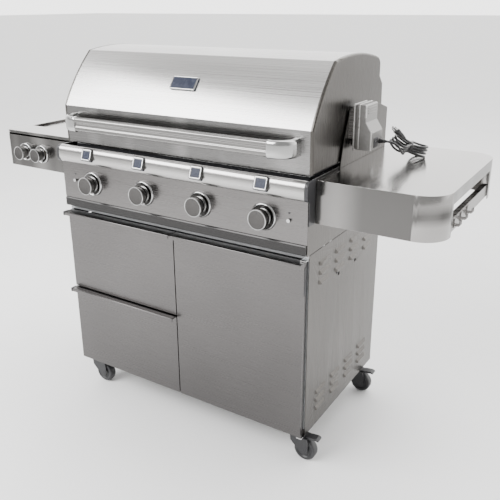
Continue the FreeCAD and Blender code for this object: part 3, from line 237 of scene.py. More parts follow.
def painted(name, shade, rough, fleck=0.25, metallic=0.0):
    """Paint, enamel or zinc: mottled colour over a slightly uneven coat."""
    material, tree, shader, coordinates = blank(name)
    mottle = noise(tree, coordinates, 120, 4.0)
    patches = noise(tree, coordinates, 7, 3.0)
    colour = blend(tree, spread(tree, mottle, 0, fleck), shade, tint(shade, 1.6))
    colour = blend(tree, spread(tree, patches, 0, 0.3), colour, tint(shade, 0.7))
    wire(tree, colour, shader.inputs["Base Color"])
    wire(tree, spread(tree, mottle, rough - 0.06, rough + 0.08), shader.inputs["Roughness"])
    shader.inputs["Metallic"].default_value = metallic
    roughen(tree, shader, mottle, 0.12, 0.0003)
    return material


def glossed(name, shade, rough=0.22):
    """A glossy coloured plate under a clear coat."""
    material, tree, shader, coordinates = blank(name)
    haze = noise(tree, coordinates, 60, 3.0)
    wire(tree, blend(tree, haze, shade, tint(shade, 1.8, 0.01)), shader.inputs["Base Color"])
    wire(tree, spread(tree, haze, rough, rough + 0.1), shader.inputs["Roughness"])
    shader.inputs["Specular IOR Level"].default_value = 0.15
    shader.inputs["Coat Weight"].default_value = 0.03
    shader.inputs["Coat Roughness"].default_value = 0.1
    return material


LOOK = {
    # The hood and the shelf steels carry painted shade and painted highlight bands on their upright faces.
    "hood": brushed("hood_steel", (0.50, 0.492, 0.486), 0.27, "x", 0.12, 0.02, 0.36, 0.3),
    # The front, panel, side and trim steels are the hood's brushed steel made far darker: painted shade.
    "front": brushed("front_steel_painted_shade", (0.118, 0.113, 0.112), 0.27, "x", 0.3, 0.03),
    "panel": brushed("panel_steel_painted_shade", (0.150, 0.144, 0.142), 0.24, "x", 0.3, 0.03),
    "side": brushed("side_steel_painted_shade", (0.108, 0.102, 0.095), 0.28, "z", 0.4, 0.04),
    "shelf": brushed("shelf_steel", (0.36, 0.351, 0.342), 0.17, "y", 0.12, 0.03, 0.27, 0.45),
    "fascia": brushed("fascia_steel", (0.24, 0.232, 0.225), 0.26, "x", 0.2),
    "dark_trim": brushed("trim_steel_painted_shade", (0.040, 0.039, 0.039), 0.24, "x", 0.3),
    "bar": brushed("bar_steel", (0.24, 0.235, 0.23), 0.18, "x", 0.1),
    "nose": brushed("nose_steel", (0.42, 0.412, 0.405), 0.24, "x", 0.1, 0.03),
    # Plating painted dark: a painted dark reflection on the gauge frames' skirts and in the knob rings'
    # dishes.
    "painted_dark_reflection": chromed("plating_painted_dark_reflection", (0.10, 0.098, 0.096), 0.2),
    "chrome": chromed("polished_plating", (0.50, 0.50, 0.50)),
    "cast": chromed("polished_casting", (0.46, 0.46, 0.455), 0.13),
    "knob_face": spun("knob_face_metal", (0.085, 0.082, 0.080), 0.26),
    "knob_side": spun("knob_side_metal", (0.30, 0.296, 0.292), 0.24),
    "black": moulded("black_plastic_skin", (0.016, 0.016, 0.018), 0.42),
    "tyre": moulded("wheel_plastic", (0.020, 0.020, 0.022), 0.48, 500, 0.3),
    "rubber": moulded("cord_jacket", (0.012, 0.012, 0.013), 0.38, 1500, 0.15, 0.15),
    "hub": moulded("hub_plastic", (0.34, 0.34, 0.34), 0.45, 700, 0.15, 0.0, (0.5, 0.5, 0.5)),
    "enamel": painted("black_enamel", (0.022, 0.022, 0.024), 0.22),
    "iron": painted("seasoned_iron", (0.030, 0.029, 0.028), 0.55),
    "zinc": painted("zinc_coat", (0.28, 0.287, 0.293), 0.42, 0.5, 0.8),
    "brass": painted("turned_brass", (0.62, 0.46, 0.20), 0.28, 0.3, 1.0),
    # The motor's silver paint comes in two copies: darkened for the housing and vents as painted shade, and
    # lightened for the beads as painted highlight.
    "silver_paint_painted_shade": painted("silver_paint_painted_shade", (0.25, 0.245, 0.237), 0.36, 0.3, 0.55),
    "bead_paint_painted_highlight": painted("bead_paint_painted_highlight", (0.66, 0.65, 0.63), 0.30, 0.2, 0.3),
    "blue": glossed("deep_blue_face", (0.010, 0.013, 0.026)),
}

NODE_LOOK = {
    "hood_skin": "hood", "hood_caps": "side", "hood_liner": "zinc", "handle_bar": "bar",
    "upper_drawer": "front", "lower_drawer": "front", "cabinet_door": "front", "control_panel": "panel",
    "bullnose": "nose", "trim_strip": "dark_trim", "cart_base": "side", "left_side_panel": "side",
    "right_side_panel": "side", "firebox_side_panels": "side", "wing_plates": "side",
    "right_shelf": "shelf", "tool_rail": "fascia", "left_shelf": "shelf", "side_burner_lid": "shelf",
    "rear_panel": "zinc", "rear_housing": "zinc", "cabinet_frame": "zinc", "drawer_runners": "zinc",
    "burners": "zinc", "drip_tray": "zinc", "hinge_pins": "chrome", "firebox": "enamel",
    "heat_plates": "enamel", "cooking_grates": "iron", "side_burner": "iron", "gas_manifold": "brass",
    "gauges": "blue", "badge_plate": "blue", "end_caps": "black", "motor_housing": "silver_paint_painted_shade",
    "motor_bracket": "fascia", "motor_switch": "black", "drive_socket": "chrome",
    "left_button": "chrome", "right_button": "chrome",
}
NODE_LOOK.update({f"{caster}_fork": "black" for caster in CASTERS})

# Edge roundings in millimetres.
EDGE_ROUND = {"handle_bar": 2.0, "motor_housing": 2.5, "motor_switch": 0.6, "cabinet_door": 0.8,
              "upper_drawer": 0.8, "lower_drawer": 0.8, "right_shelf": 0.9, "left_shelf": 0.9,
              "side_burner_lid": 1.6, "wing_plates": 0.8, "trim_strip": 0.7, "control_panel": 0.5,
              "end_caps": 0.8, "left_side_panel": 0.6, "right_side_panel": 0.6, "tool_rail": 0.5,
              "cart_base": 0.7, "gauges": 1.5, "badge_plate": 1.0, "hinge_pins": 0.6}
EDGE_ROUND.update({f"{caster}_fork": 1.2 for caster in CASTERS})


def dress(thing, look):
    """Give a piece one material."""
    thing.data.materials.clear()
    thing.data.materials.append(LOOK[look])


def soften(thing, radius, segments=2):
    """Round a piece's sharp edges a little, in millimetres."""
    weld = thing.modifiers.new("weld", "WELD")
    weld.merge_threshold = 0.00001
    bevel = thing.modifiers.new("edge", "BEVEL")
    bevel.width = radius * MM
    bevel.segments = segments
    bevel.limit_method = "ANGLE"
    bevel.angle_limit = math.radians(32)
    bevel.harden_normals = True


for name, look in NODE_LOOK.items():
    dress(nodes[name], look)
for name, radius in EDGE_ROUND.items():
    soften(nodes[name], radius)


# ---------------------------------------------------------------- mesh helpers

def piece(name, mesh, look, body, place=None, sharp=38):
    """A finished piece: smooth shaded, in one material, riding on a body."""
    data = bpy.data.meshes.new(name)
    mesh.to_mesh(data)
    mesh.free()
    data.shade_smooth()
    data.set_sharp_from_angle(angle=math.radians(sharp))
    thing = bpy.data.objects.new(name, data)
    bpy.context.scene.collection.objects.link(thing)
    data.materials.append(LOOK[look])
    if place is not None:
        thing.matrix_world = place
    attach(thing, body)
    return thing


def spin(mesh, profile, centre=(0, 0, 0), axis="y", segments=72):
    """Add a turned solid: profile pairs are (radius, place along the axis) in millimetres."""
    turn = {"x": lambda r, a, s: Vector((s, r * math.cos(a), r * math.sin(a))),
            "y": lambda r, a, s: Vector((r * math.cos(a), s, r * math.sin(a))),
            "z": lambda r, a, s: Vector((r * math.cos(a), r * math.sin(a), s))}[axis]
    rings = []
    for radius, along in profile:
        if radius == 0:
            rings.append([mesh.verts.new((turn(0, 0, along) + Vector(centre)) * MM)])
            continue
        rings.append([mesh.verts.new((turn(radius, 2 * math.pi * step / segments, along)
                                      + Vector(centre)) * MM) for step in range(segments)])
    for near, far in zip(rings, rings[1:]):
        for step in range(segments):
            after = (step + 1) % segments
            corners = [near[step % len(near)], near[after % len(near)], far[after % len(far)],
                       far[step % len(far)]]
            unique = list(dict.fromkeys(corners))
            if len(unique) > 2:
                mesh.faces.new(unique)
    return mesh


def turned(profile, centre=(0, 0, 0), axis="y", segments=72):
    """One turned solid in a mesh of its own, its faces outwards."""
    mesh = spin(bmesh.new(), profile, centre, axis, segments)
    bmesh.ops.recalc_face_normals(mesh, faces=mesh.faces)
    return mesh


def brick(mesh, low, high, radius, segments=3):
    """Add a box with rounded edges, its corners in millimetres."""
    made = bmesh.ops.create_cube(mesh, size=1)["verts"]
    middle = (Vector(low) + Vector(high)) / 2
    size = Vector(high) - Vector(low)
    for vert in made:
        vert.co = Vector([vert.co[axis] * size[axis] + middle[axis] for axis in range(3)]) * MM
    edges = list(dict.fromkeys(edge for vert in made for edge in vert.link_edges))
    bmesh.ops.bevel(mesh, geom=edges, offset=radius * MM, segments=segments, affect="EDGES", profile=0.5)
    return mesh


def bricks(boxes, radius):
    """Several rounded boxes in one mesh."""
    mesh = bmesh.new()
    for low, high in boxes:
        brick(mesh, low, high, radius)
    return mesh


def skin(mesh, loops, capped=True):
    """Join each loop of points to the next with faces, and close both ends."""
    for near, far in zip(loops, loops[1:]):
        for step in range(len(near)):
            after = (step + 1) % len(near)
            mesh.faces.new((near[step], near[after], far[after], far[step]))
    if capped:
        mesh.faces.new(loops[0])
        mesh.faces.new(loops[-1])
    bmesh.ops.recalc_face_normals(mesh, faces=mesh.faces)
    return mesh


def oblong(wide, tall, power, steps):
    """Points round an oval about its middle: a power of 1 is an ellipse, and less is squarer."""
    points = []
    for step in range(steps):
        angle = 2 * math.pi * step / steps
        points.append((wide * math.copysign(abs(math.cos(angle)) ** power, math.cos(angle)),
                       tall * math.copysign(abs(math.sin(angle)) ** power, math.sin(angle))))
    return points


def rounded_outline(wide, tall, corner, arch=0.0, steps=8):
    """A rectangle of half sizes wide and tall with rounded corners, whose top edge may be arched."""
    points = []
    for number, (side, level) in enumerate(((1, 1), (-1, 1), (-1, -1), (1, -1))):
        for step in range(steps + 1):
            angle = math.pi / 2 * (number + step / steps)
            across = side * (wide - corner) + corner * math.cos(angle)
            up = level * (tall - corner) + corner * math.sin(angle)
            lift = arch * (1 - (across / wide) ** 2) if up > tall - corner - 0.01 else 0
            points.append((across, up + lift))
    return points


def swept(stations, power=0.6, steps=36):
    """Skin over rounded sections, each (centre, way, half width, half height), in millimetres."""
    mesh = bmesh.new()
    loops = []
    for centre, way, wide, tall in stations:
        way = Vector(way).normalized()
        across = Vector((0, 0, 1)).cross(way).normalized()
        lift = way.cross(across)
        loops.append([mesh.verts.new((Vector(centre) + across * out + lift * up) * MM)
                      for out, up in oblong(wide, tall, power, steps)])
    return skin(mesh, loops)


def extruded(outline, low, high):
    """A bar along X between two places; its outline is (y, z) pairs in millimetres."""
    mesh = bmesh.new()
    return skin(mesh, [[mesh.verts.new((place * MM, y * MM, z * MM)) for y, z in outline]
                       for place in (low, high)])


def centre_of(name):
    """Middle of a node's box at rest, in metres."""
    low, high = (Vector(corner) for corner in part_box(name))
    return (low + high) / 2


# ---------------------------------------------------------------- power lead

# The hank slopes from its top, beside the motor, down to its foot on the right shelf. WAIST and FOLD are
# its half widths and HALF_RUN is half its length, in millimetres.
LEAD_EXIT = Vector((0.582, 0.022, 1.011))
HANK_TOP = Vector((0.590, 0.058, 1.004))
HANK_FOOT = Vector((0.641, 0.196, 0.9555))
PLUG_REAR = Vector((0.614, 0.086, 1.012))
PLUG_WAY = Vector((-0.43, -0.64, 0.64)).normalized()
CORD_DIAMETER = 0.007
HANK_RUN = (HANK_FOOT - HANK_TOP).length
ALONG = (HANK_FOOT - HANK_TOP).normalized()
ACROSS = Vector((0, 0, 1)).cross(ALONG).normalized()
ABOVE = ALONG.cross(ACROSS)
TWIST = math.radians(45)
LAYER = 7.5 * MM
MIDDLE_LAYER = 1.72
WAIST, FOLD = 7, 25.2
HALF_RUN = HANK_RUN / MM / 2 - 0.5
TURNS = 3


def in_hank(share, across, level):
    """A point of the hank: a share of its length, mm across it and metres above its middle plane.

    Its upper end is twisted towards the upright.
    """
    turn = TWIST * (1 - share)
    wide = ACROSS * math.cos(turn) + ABOVE * math.sin(turn)
    thick = ABOVE * math.cos(turn) - ACROSS * math.sin(turn)
    return HANK_TOP + ALONG * (share * HANK_RUN) + wide * (across * MM) + thick * level


def one_turn():
    """Once round the hank in mm from its middle: waisted sides joined by a round fold at each end."""
    reach = HALF_RUN - FOLD
    sides = [(step / 5 * reach, WAIST + (FOLD - WAIST) * (1 - math.cos(math.pi * step / 5)) / 2)
             for step in range(5)]
    half = [(along, -wide) for along, wide in sides]
    for step in range(-3, 4):
        angle = step * math.pi / 6
        half.append((reach + FOLD * math.cos(angle), FOLD * math.sin(angle)))
    half += [(along, wide) for along, wide in reversed(sides[1:])]
    return half + [(-along, -wide) for along, wide in half]


TURN = one_turn()


def hank_point(number):
    """Point by number along the turns, each turn lying on the one before."""
    along, across = TURN[number % len(TURN)]
    loop = number / len(TURN)
    share = 0.5 + along * MM / HANK_RUN * (1 - 0.008 * (1 + math.sin(2.1 * loop)))
    return in_hank(share, across, (loop - MIDDLE_LAYER) * LAYER * (1 + abs(share - 0.5)))


def rounded_way(points, radius, step=0.006):
    """Points along straight runs whose corners are rounded to one radius, up to the last corner."""
    way = [points[0]]
    place = points[0]
    for corner, after in zip(points[1:], points[2:]):
        come, leave = (corner - place), (after - corner).normalized()
        run = come.length
        come.normalize()
        turn = come.angle(leave)
        reach = radius * math.tan(turn / 2)
        straight = run - reach
        count = int(straight // step) + 1
        if straight > 0.002:
            way += [place + come * (straight * (number + 1) / count) for number in range(count)]
        centre = corner + (leave - come).normalized() * (radius / math.cos(turn / 2))
        arm = corner - come * reach - centre
        parts = max(1, int(radius * turn / step))
        for part in range(1, parts + 1):
            angle = turn * part / parts
            way.append(centre + arm * math.cos(angle) + come * (radius * math.sin(angle)))
        place = corner + leave * reach
    return way


HANK_RUNS = [hank_point(number) for number in range(-2, TURNS * len(TURN) + 15)]
LEAD_IN = rounded_way([LEAD_EXIT, LEAD_EXIT + Vector((0.030, 0, 0)),
                       in_hank(0.20, -36, -0.011), HANK_RUNS[0]], 0.030)
TAIL = rounded_way([HANK_RUNS[-1], in_hank(0.50, 0, 0.015), in_hank(0.36, -6, 0.019),
                    PLUG_REAR - PLUG_WAY * 0.009, PLUG_REAR - PLUG_WAY * 0.003], 0.029)
LEAD = LEAD_IN + HANK_RUNS + TAIL[1:] + [PLUG_REAR - PLUG_WAY * 0.003]


def cord_piece(name, points, diameter, look):
    """A round cord on one smooth curve through its points."""
    curve = bpy.data.curves.new(name, "CURVE")
    curve.dimensions = "3D"
    curve.bevel_depth = diameter / 2
    curve.bevel_resolution = 5
    curve.resolution_u = 6
    spline = curve.splines.new("NURBS")
    spline.points.add(len(points) - 1)
    for point, place in zip(spline.points, points):
        point.co = (*place, 1)
    spline.order_u = 3
    spline.use_endpoint_u = True
    curve.use_fill_caps = True
    thing = bpy.data.objects.new(name, curve)
    bpy.context.scene.collection.objects.link(thing)
    curve.materials.append(LOOK[look])
    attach(thing, "root")
    return thing


lead = cord_piece("power_lead", LEAD, CORD_DIAMETER, "rubber")
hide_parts("power_cord", "cord_hank")


def lead_tie():
    """A flat rubber strap round the waist of the hank."""
    mesh = bmesh.new()
    loops = [[mesh.verts.new(in_hank(0.5 + side * MM / HANK_RUN, across, level * MM))
              for across, level in oblong(10.6 + grow, 16.5 + grow, 1, 40)]
             for side in (-4.5, 4.5) for grow in (0, 1.6)]
    skin(mesh, [loops[number] for number in (0, 1, 3, 2, 0)], capped=False)
    return piece("lead_tie", mesh, "black", "root")


def plug_place():
    """Frame of the plug: X towards its blades, Y across it."""
    across = Vector((0, 0, 1)).cross(PLUG_WAY).normalized()
    lift = PLUG_WAY.cross(across)
    return Matrix.Translation(PLUG_REAR) @ Matrix((PLUG_WAY, across, lift)).transposed().to_4x4()


# Plug body sections: millimetres from its neck, half width and half thickness.
PLUG_SECTIONS = ((0, 4.4, 4.4), (1.5, 5.2, 5.0), (5, 5.0, 4.8), (6, 5.9, 5.4), (9, 5.7, 5.2),
                 (10, 6.8, 6.0), (13, 6.9, 6.1), (16, 8.6, 7.0), (22, 9.4, 7.4), (28, 9.6, 7.5),
                 (33, 11.4, 8.0), (39, 11.9, 8.3), (41.4, 11.6, 8.1), (42, 10.6, 7.4))


def moulded_plug():
    """Plug body that swells from a ribbed neck to a flat face."""
    mesh = bmesh.new()
    loops = [[mesh.verts.new(Vector((along, across, up)) * MM)
              for across, up in oblong(wide, thick, 0.62, 32)]
             for along, wide, thick in PLUG_SECTIONS]
    return piece("plug_body", skin(mesh, loops), "rubber", "root", plug_place(), 50)


def plug_blades():
    """Two flat blades and a round earth pin."""
    # The pin comes first: faces added after a bevel would take an order that changes from run to run.
    mesh = spin(bmesh.new(), ((0, 41), (2.3, 41), (2.3, 57), (1.6, 59.2), (0, 60)), (0, 0, -4.5), "x", 20)
    for across in (-6.4, 6.4):
        brick(mesh, (41, across - 0.8, -1), (58, across + 0.8, 5.5), 0.5, 2)
    return piece("plug_blades", mesh, "chrome", "root", plug_place())


def lead_sleeve():
    """Ribbed tapered sleeve where the lead leaves the motor."""
    low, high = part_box("strain_relief")
    reach = (high[0] - low[0]) / MM
    profile = [(0, 0), (7.9, 0), (7.9, 2.5)]
    ribs = 5
    for number in range(ribs):
        start = 2.5 + number * (reach - 5) / ribs
        wide = 7.4 - 2.9 * (number + 0.5) / ribs
        profile += [(wide, start + 0.3), (wide, start + 2.6), (wide - 1.3, start + 3.1),
                    (wide - 1.4, start + 3.7)]
    profile += [(4.6, reach - 1), (4.1, reach), (3.4, reach)]
    foot = (low[0] / MM, (low[1] + high[1]) / 2 / MM, (low[2] + high[2]) / 2 / MM)
    mesh = turned(profile, foot, "x", 40)
    return piece("lead_sleeve", mesh, "rubber", "root")


tie = lead_tie()
plug = moulded_plug()
blades = plug_blades()
sleeve = lead_sleeve()
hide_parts("cord_plug")
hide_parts("strain_relief")


# ---------------------------------------------------------------- knobs and their rings

KNOB_RADIUS, SIDE_KNOB_RADIUS = 30.5, 25.5
BEZEL_RADIUS, SIDE_BEZEL_RADIUS = 42, 35
KNOB_TO_PANEL = 5
PANEL_KNOBS = [f"knob_{number}" for number in range(1, 5)]
SIDE_KNOBS = ["side_knob_1", "side_knob_2"]


def knob_mesh(radius, reach):
    """Knob from its foot at y = 0 to its face at y = -reach, grooved at the foot, with a thin rim."""
    profile = [(4.1, 0), (radius - 5, 0), (radius - 4.6, -0.6)]
    for groove in range(3):
        start = -1.5 - groove * 2.6
        profile += [(radius - 4.6, start), (radius - 5.4, start - 0.5), (radius - 5.4, start - 1.1),
                    (radius - 4.6, start - 1.6)]
    profile += [(radius - 4.3, -9.5), (radius - 2.6, -11.6), (radius - 2.1, -13),
                (radius - 2.1, 5.5 - reach), (radius - 1.6, 4.9 - reach), (radius - 0.5, 4.5 - reach),
                (radius, 3.8 - reach), (radius, 1 - reach), (radius - 0.6, 0.15 - reach),
                (radius - 1.4, -reach), (radius - 2.1, 0.2 - reach), (radius - 2.6, 0.9 - reach),
                (radius - 3.4, 1 - reach), (0, 1 - reach)]
    mesh = turned(profile, segments=96)
    for face in mesh.faces:
        place = face.calc_center_median() / MM
        if place.y < 1.02 - reach and place.xz.length < radius - 3:
            face.material_index = 1
        elif place.y < 0.9 - reach:
            face.material_index = 2
    return mesh


def pointer_mesh(radius, reach, steps=28):
    """Small drop-shaped mark let into the knob's face, near its rim."""
    mesh = bmesh.new()
    middle = radius - 9.5
    outline = []
    for step in range(steps):
        angle = 2 * math.pi * step / steps
        narrow = 1 - 0.55 * (0.5 + 0.5 * math.sin(angle))
        outline.append((1.9 * narrow * math.cos(angle), 4.6 * math.sin(angle)))
    back, front = 2.5 - reach, 0.75 - reach
    return skin(mesh, [[mesh.verts.new(Vector((x * shrink, level, middle + z * shrink)) * MM)
                        for x, z in outline]
                       for level, shrink in ((back, 1.0), (front, 1.0), (front - 0.1, 0.75))])


def knob(name, radius):
    """A knob's grip with its plated rim and spun face, and the mark in the face."""
    low, high = (Vector(corner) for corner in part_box(name))
    reach = (high.y - low.y) / MM
    place = Matrix.Translation(((low.x + high.x) / 2, high.y, (low.z + high.z) / 2))
    body = piece(name + "_grip", knob_mesh(radius, reach), "knob_side", name, place, 30)
    body.data.materials.append(LOOK["knob_face"])
    body.data.materials.append(LOOK["chrome"])
    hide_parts(name)
    piece(name + "_mark", pointer_mesh(radius, reach), "black", name, place)


for name in PANEL_KNOBS:
    knob(name, KNOB_RADIUS)
for name in SIDE_KNOBS:
    knob(name, SIDE_KNOB_RADIUS)


def bezel_rings():
    """All the knob rings as one piece: a rolled outer edge and a dished inner face, the dish in plating
    painted dark as a painted dark reflection.
    """
    mesh = bmesh.new()
    for name in PANEL_KNOBS + SIDE_KNOBS:
        middle = centre_of(name) / MM
        radius = SIDE_BEZEL_RADIUS if name in SIDE_KNOBS else BEZEL_RADIUS
        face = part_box(name)[1][1] / MM + KNOB_TO_PANEL
        spin(mesh, ((radius - 16, face), (radius - 0.3, face), (radius, face - 0.6), (radius, face - 2.6),
                    (radius - 0.6, face - 4.2), (radius - 1.9, face - 6.2), (radius - 2.9, face - 7.4),
                    (radius - 3.7, face - 7.8), (radius - 4.5, face - 7.2), (radius - 7.2, face - 5.4),
                    (radius - 11, face - 4), (radius - 13.2, face - 3), (radius - 16, face - 2.8),
                    (radius - 16, face)), (middle.x, 0, middle.z), "y", 96)
        for part in mesh.faces:
            place = part.calc_center_median() / MM - middle
            # The dish inside the rolled edge takes the plating painted dark: a painted dark reflection.
            if math.hypot(place.x, place.z) < radius - 4.6:
                part.material_index = 1
    bmesh.ops.recalc_face_normals(mesh, faces=mesh.faces)
    ring = piece("bezel_rings", mesh, "chrome", "root", None, 50)
    ring.data.materials.append(LOOK["painted_dark_reflection"])
    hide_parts("knob_bezels")


bezel_rings()


# ---------------------------------------------------------------- gauges and badge

def frame_ring(name, place, body, wide, tall, corner, band, depth, arch=0.0, skirt=0.0):
    """Bright frame with a rounded section round a plate in the local XZ plane, facing -Y.

    A skirt is the depth in millimetres of the side wall behind the frame, in plating painted dark as a
    painted dark reflection.
    """
    sections = ((0.0, depth * 0.5 + skirt), (-0.4, depth * 0.5 + skirt), (-0.4, 0.0),
                (min(2.2, band * 0.3), -depth * 0.34), (band * 0.55, -depth * 0.5),
                (band - 0.6, -depth * 0.32), (band, 0.0))
    mesh = bmesh.new()
    loops = [[mesh.verts.new((x * MM, back * MM, z * MM))
              for x, z in rounded_outline(wide - inset, tall - inset, max(1.5, corner - inset), arch)]
             for inset, back in sections]
    skin(mesh, loops, capped=False)
    mesh.faces.ensure_lookup_table()
    # The skirt faces take the plating painted dark: a painted dark reflection.
    if skirt:
        for number in range(3 * len(loops[0])):
            mesh.faces[number].material_index = 1
    ring = piece(name, mesh, "chrome", body, place, 60)
    ring.data.materials.append(LOOK["painted_dark_reflection"])
    return ring


# Places in millimetres and slopes in degrees, the same as the plates' own.
GAUGE_SPACING, GAUGE_SHIFT, GAUGE_LEVEL, GAUGE_SLOPE = 226.3, 1, 922.5, -20
BADGE_FRONT, BADGE_LEVEL, BADGE_SLOPE = -196.6, 1169.9, -37.4
NOSE_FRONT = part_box("bullnose")[0][1]
for number in range(4):
    across = GAUGE_SHIFT + (number - 1.5) * GAUGE_SPACING
    place = (Matrix.Translation((across * MM, NOSE_FRONT + 3.5 * MM, GAUGE_LEVEL * MM))
             @ Matrix.Rotation(math.radians(GAUGE_SLOPE), 4, "X"))
    offset = place @ Matrix.Translation((0, -8.6 * MM, 0))
    frame_ring(f"gauge_frame_{number + 1}", offset, "root", 23, 20.4, 7, 7.2, 6, 1.6, 9.0)

badge_place = (Matrix.Translation((0, BADGE_FRONT * MM, BADGE_LEVEL * MM))
               @ Matrix.Rotation(math.radians(BADGE_SLOPE), 4, "X") @ Matrix.Translation((0, -2.6 * MM, 0)))
frame_ring("badge_frame", badge_place, "hood", 48, 23, 4, 4.2, 3.4)


# ---------------------------------------------------------------- handle, rail and motor

HANDLE_LEVEL = 1027.5
# Sections from the bar to the foot on the hood: x, y, the way's x and y, half width and half height.
CASTING_SECTIONS = ((366, -309, 1, 0, 11.6, 23.5), (368.5, -309, 1, 0, 13, 26.2), (374, -309, 1, 0, 12, 25.2),
                    (386, -308.4, 1, 0.08, 12, 25.4), (398, -305.6, 1, 0.35, 12.2, 25.7),
                    (410, -299, 0.8, 0.6, 12.4, 26), (419.5, -289, 0.55, 0.83, 12.6, 26.2),
                    (425, -277, 0.25, 0.97, 12.8, 26.3), (426, -266, 0, 1, 13.2, 26.4),
                    (425, -258, 0, 1, 15, 26.6), (425, -254.4, 0, 1, 16, 26.8))

for side, sense in (("left", -1), ("right", 1)):
    stations = [((sense * x, y, HANDLE_LEVEL), (sense * way_x, way_y, 0), wide, tall)
                for x, y, way_x, way_y, wide, tall in CASTING_SECTIONS]
    casting = piece(f"handle_casting_{side}", swept(stations), "cast", "hood", None, 50)
    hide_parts("handle_ends")


def nose_rail():
    """The front rail with its full half-round nose."""
    low, high = (Vector(corner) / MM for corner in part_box("bullnose"))
    middle, tall, deep = (low.z + high.z) / 2, (high.z - low.z) / 2, high.y - low.y
    outline = [(high.y, low.z), (high.y, high.z)]
    for step in range(1, 30):
        angle = math.pi / 2 - math.pi * step / 30
        outline.append((high.y - deep * abs(math.cos(angle)) ** 0.75,
                        middle + tall * math.copysign(abs(math.sin(angle)) ** 0.85, math.sin(angle))))
    rail = piece("nose_rail", extruded(outline, low.x, high.x), "nose", "root", None, 60)
    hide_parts("bullnose")


nose_rail()


# Outer faces of the housing's upper and lower parts.
MOTOR_UPPER, MOTOR_LOWER = 539, 558


def motor_details():
    """Seam and edge beads in a lighter copy of the housing paint as painted highlight, vent ribs, and a black
    plate as painted shade for the recess round the switch and sleeve.
    """
    low, high = (Vector(corner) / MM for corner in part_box("motor_housing"))
    beads = [((low.x + 17, low.y - 1.6, low.z + 2), (low.x + 20.5, high.y + 1.6, high.z + 1.6)),
             ((low.x + 1, low.y - 1.0, low.z + 3), (low.x + 4, high.y + 1.0, high.z + 1.0)),
             ((MOTOR_UPPER - 2.5, low.y - 1.2, 1086), (MOTOR_UPPER + 1.2, low.y + 2, high.z - 2)),
             ((MOTOR_LOWER - 2.5, low.y - 1.2, low.z + 1), (MOTOR_LOWER + 0.8, low.y + 2, 1050))]
    piece("motor_beads", bricks(beads, 1.1), "bead_paint_painted_highlight", "root")
    vents = [((MOTOR_UPPER - 1.5, -30, level), (MOTOR_UPPER + 1.6, 30, level + 3.2))
             for level in (1112, 1104, 1096)]
    piece("motor_vents", bricks(vents, 0.9), "silver_paint_painted_shade", "root")
    # A black plate on the housing's face: painted shade for the recess round the switch and sleeve.
    recess = [((MOTOR_LOWER - 1.5, -24, 997), (MOTOR_LOWER + 1, 10, 1026))]
    piece("motor_recess_painted_shade", bricks(recess, 0.8), "black", "root")


motor_details()


# ---------------------------------------------------------------- front trim, screws and wheels

LIP_LEVEL = {"upper_drawer": 706, "lower_drawer": 409}
SIDE_FACE, LAMP_FACE = 480.4, -285.6


def lip_ends():
    """Black end plugs on the left ends of the drawer lips."""
    for name, level in LIP_LEVEL.items():
        low = Vector(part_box(name)[0]) / MM
        plug_end = ((low.x - 2.5, low.y - 1.2, level - 13.5), (low.x + 6, low.y + 24, level + 1.2))
        piece(name + "_lip_end", bricks([plug_end], 3.0), "black", name)


lip_ends()


def edge_gap_shades():
    """Black strips down the upper outer edges of the drawer front and the door: painted shade in the gaps
    there.
    """
    for name, body, side in (("upper_drawer", "upper_drawer", 0), ("cabinet_door", "door", 1)):
        low, high = (Vector(corner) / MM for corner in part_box(name))
        edge = (low.x, high.x)[side]
        # A black strip set back from the front face at the outer edge: painted shade in the gap.
        strip = ((edge - 1.6, low.y + 26, high.z - 106), (edge + 1.2, low.y + 40, high.z - 16))
        piece(name + "_gap_shade", bricks([strip], 0.6), "black", body)


edge_gap_shades()


def screw_heads():
    """Domed screws on the side panels and small lamps above the push buttons."""
    mesh = bmesh.new()
    profile = ((0, 3.0), (3.0, 2.6), (5.0, 1.4), (5.8, 0), (5.8, -0.8), (0, -0.8))
    for sense in (-1, 1):
        for back, level in ((-69, 600), (56, 603)):
            spin(mesh, [(radius, sense * (SIDE_FACE + along)) for radius, along in profile],
                 (0, back, level), "x", 24)
    bmesh.ops.recalc_face_normals(mesh, faces=mesh.faces)
    piece("side_screws", mesh, "black", "root", None, 50)
    mesh = bmesh.new()
    for sense in (-1, 1):
        spin(mesh, ((0, LAMP_FACE), (2.4, LAMP_FACE + 0.2), (3.2, LAMP_FACE + 0.8), (3.2, LAMP_FACE + 2),
                    (0, LAMP_FACE + 2)), (sense * 422, 0, 846), "y", 20)
    bmesh.ops.recalc_face_normals(mesh, faces=mesh.faces)
    piece("panel_lamps", mesh, "black", "root", None, 50)


screw_heads()


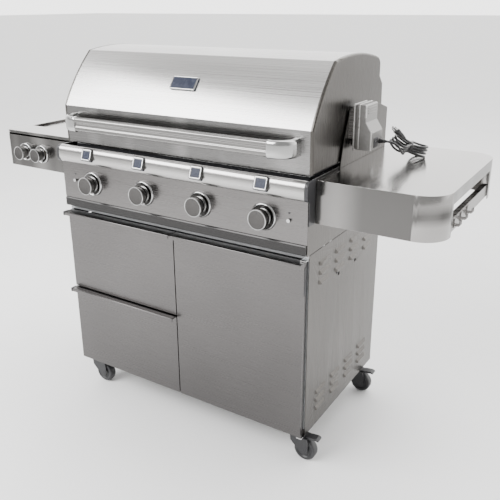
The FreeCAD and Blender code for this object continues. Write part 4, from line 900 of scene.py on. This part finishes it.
def caster_wheel(name, body):
    """Solid wheel: a rounded tread, a recessed disc and a hub boss on each side."""
    low, high = (Vector(corner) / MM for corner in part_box(name))
    middle = (low + high) / 2
    radius, half = (high.z - low.z) / 2, (high.y - low.y) / 2
    side = [(4.2, -half), (9, -half), (10, -half + 1), (11.5, -half + 5), (24, -half + 5.5), (27, -half + 2),
            (29, -half + 0.6), (33, -half + 0.6), (36, -half + 2.6), (radius - 0.2, -half + 6),
            (radius, -half + 9)]
    profile = side + [(wide, -along) for wide, along in reversed(side)] + [side[0]]
    mesh = turned(profile, tuple(middle))
    for face in mesh.faces:
        place = face.calc_center_median() / MM - middle
        if math.hypot(place.x, place.z) < 11:
            face.material_index = 1
    wheel = piece(name + "_tread", mesh, "tyre", body, None, 40)
    wheel.data.materials.append(LOOK["hub"])
    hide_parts(name)


for caster in CASTERS:
    caster_wheel(f"{caster}_wheel", f"{caster}_roller")


# ---------------------------------------------------------------- stage and light

def floor():
    """Pale floor, far wider than the view."""
    mesh = bmesh.new()
    bmesh.ops.create_grid(mesh, x_segments=2, y_segments=2, size=70)
    data = bpy.data.meshes.new("floor")
    mesh.to_mesh(data)
    mesh.free()
    thing = bpy.data.objects.new("floor", data)
    bpy.context.scene.collection.objects.link(thing)
    material, tree, shader, coordinates = blank("pale_floor")
    mottle = noise(tree, coordinates, 3, 2.0)
    wire(tree, blend(tree, mottle, (0.86, 0.86, 0.86), (0.90, 0.90, 0.90)), shader.inputs["Base Color"])
    shader.inputs["Roughness"].default_value = 0.75
    data.materials.append(material)


def softbox(name, place, target, wide, tall, radiance):
    """A rectangular lamp that looks at a target; its power follows from its brightness."""
    data = bpy.data.lights.new(name, "AREA")
    data.shape = "RECTANGLE"
    data.size, data.size_y = wide, tall
    data.energy = radiance * math.pi * wide * tall
    thing = bpy.data.objects.new(name, data)
    thing.location = place
    thing.rotation_euler = (Vector(target) - Vector(place)).to_track_quat("-Z", "Y").to_euler()
    bpy.context.scene.collection.objects.link(thing)


def sky():
    """Plain studio surround, brighter overhead and behind the object than in front of it."""
    world = bpy.data.worlds.new("studio")
    bpy.context.scene.world = world
    world.use_nodes = True
    tree = world.node_tree
    background = tree.nodes["Background"]
    background.inputs["Color"].default_value = (1, 0.995, 0.985, 1)
    direction = tree.nodes.new("ShaderNodeTexCoord").outputs["Generated"]
    split = tree.nodes.new("ShaderNodeSeparateXYZ")
    wire(tree, direction, split.inputs[0])
    back = spread(tree, split.outputs["Y"], 0.65, 3.4, -0.3, 0.45)
    wire(tree, back, background.inputs["Strength"])


floor()
sky()
softbox("front_softbox", (-1.8, -2.7, 2.9), (0, -0.2, 1.1), 3.6, 2.2, 13.0)
softbox("back_wash", (0.5, 2.6, 3.4), (-0.4, 2.4, 0.0), 5.0, 2.5, 2.0)
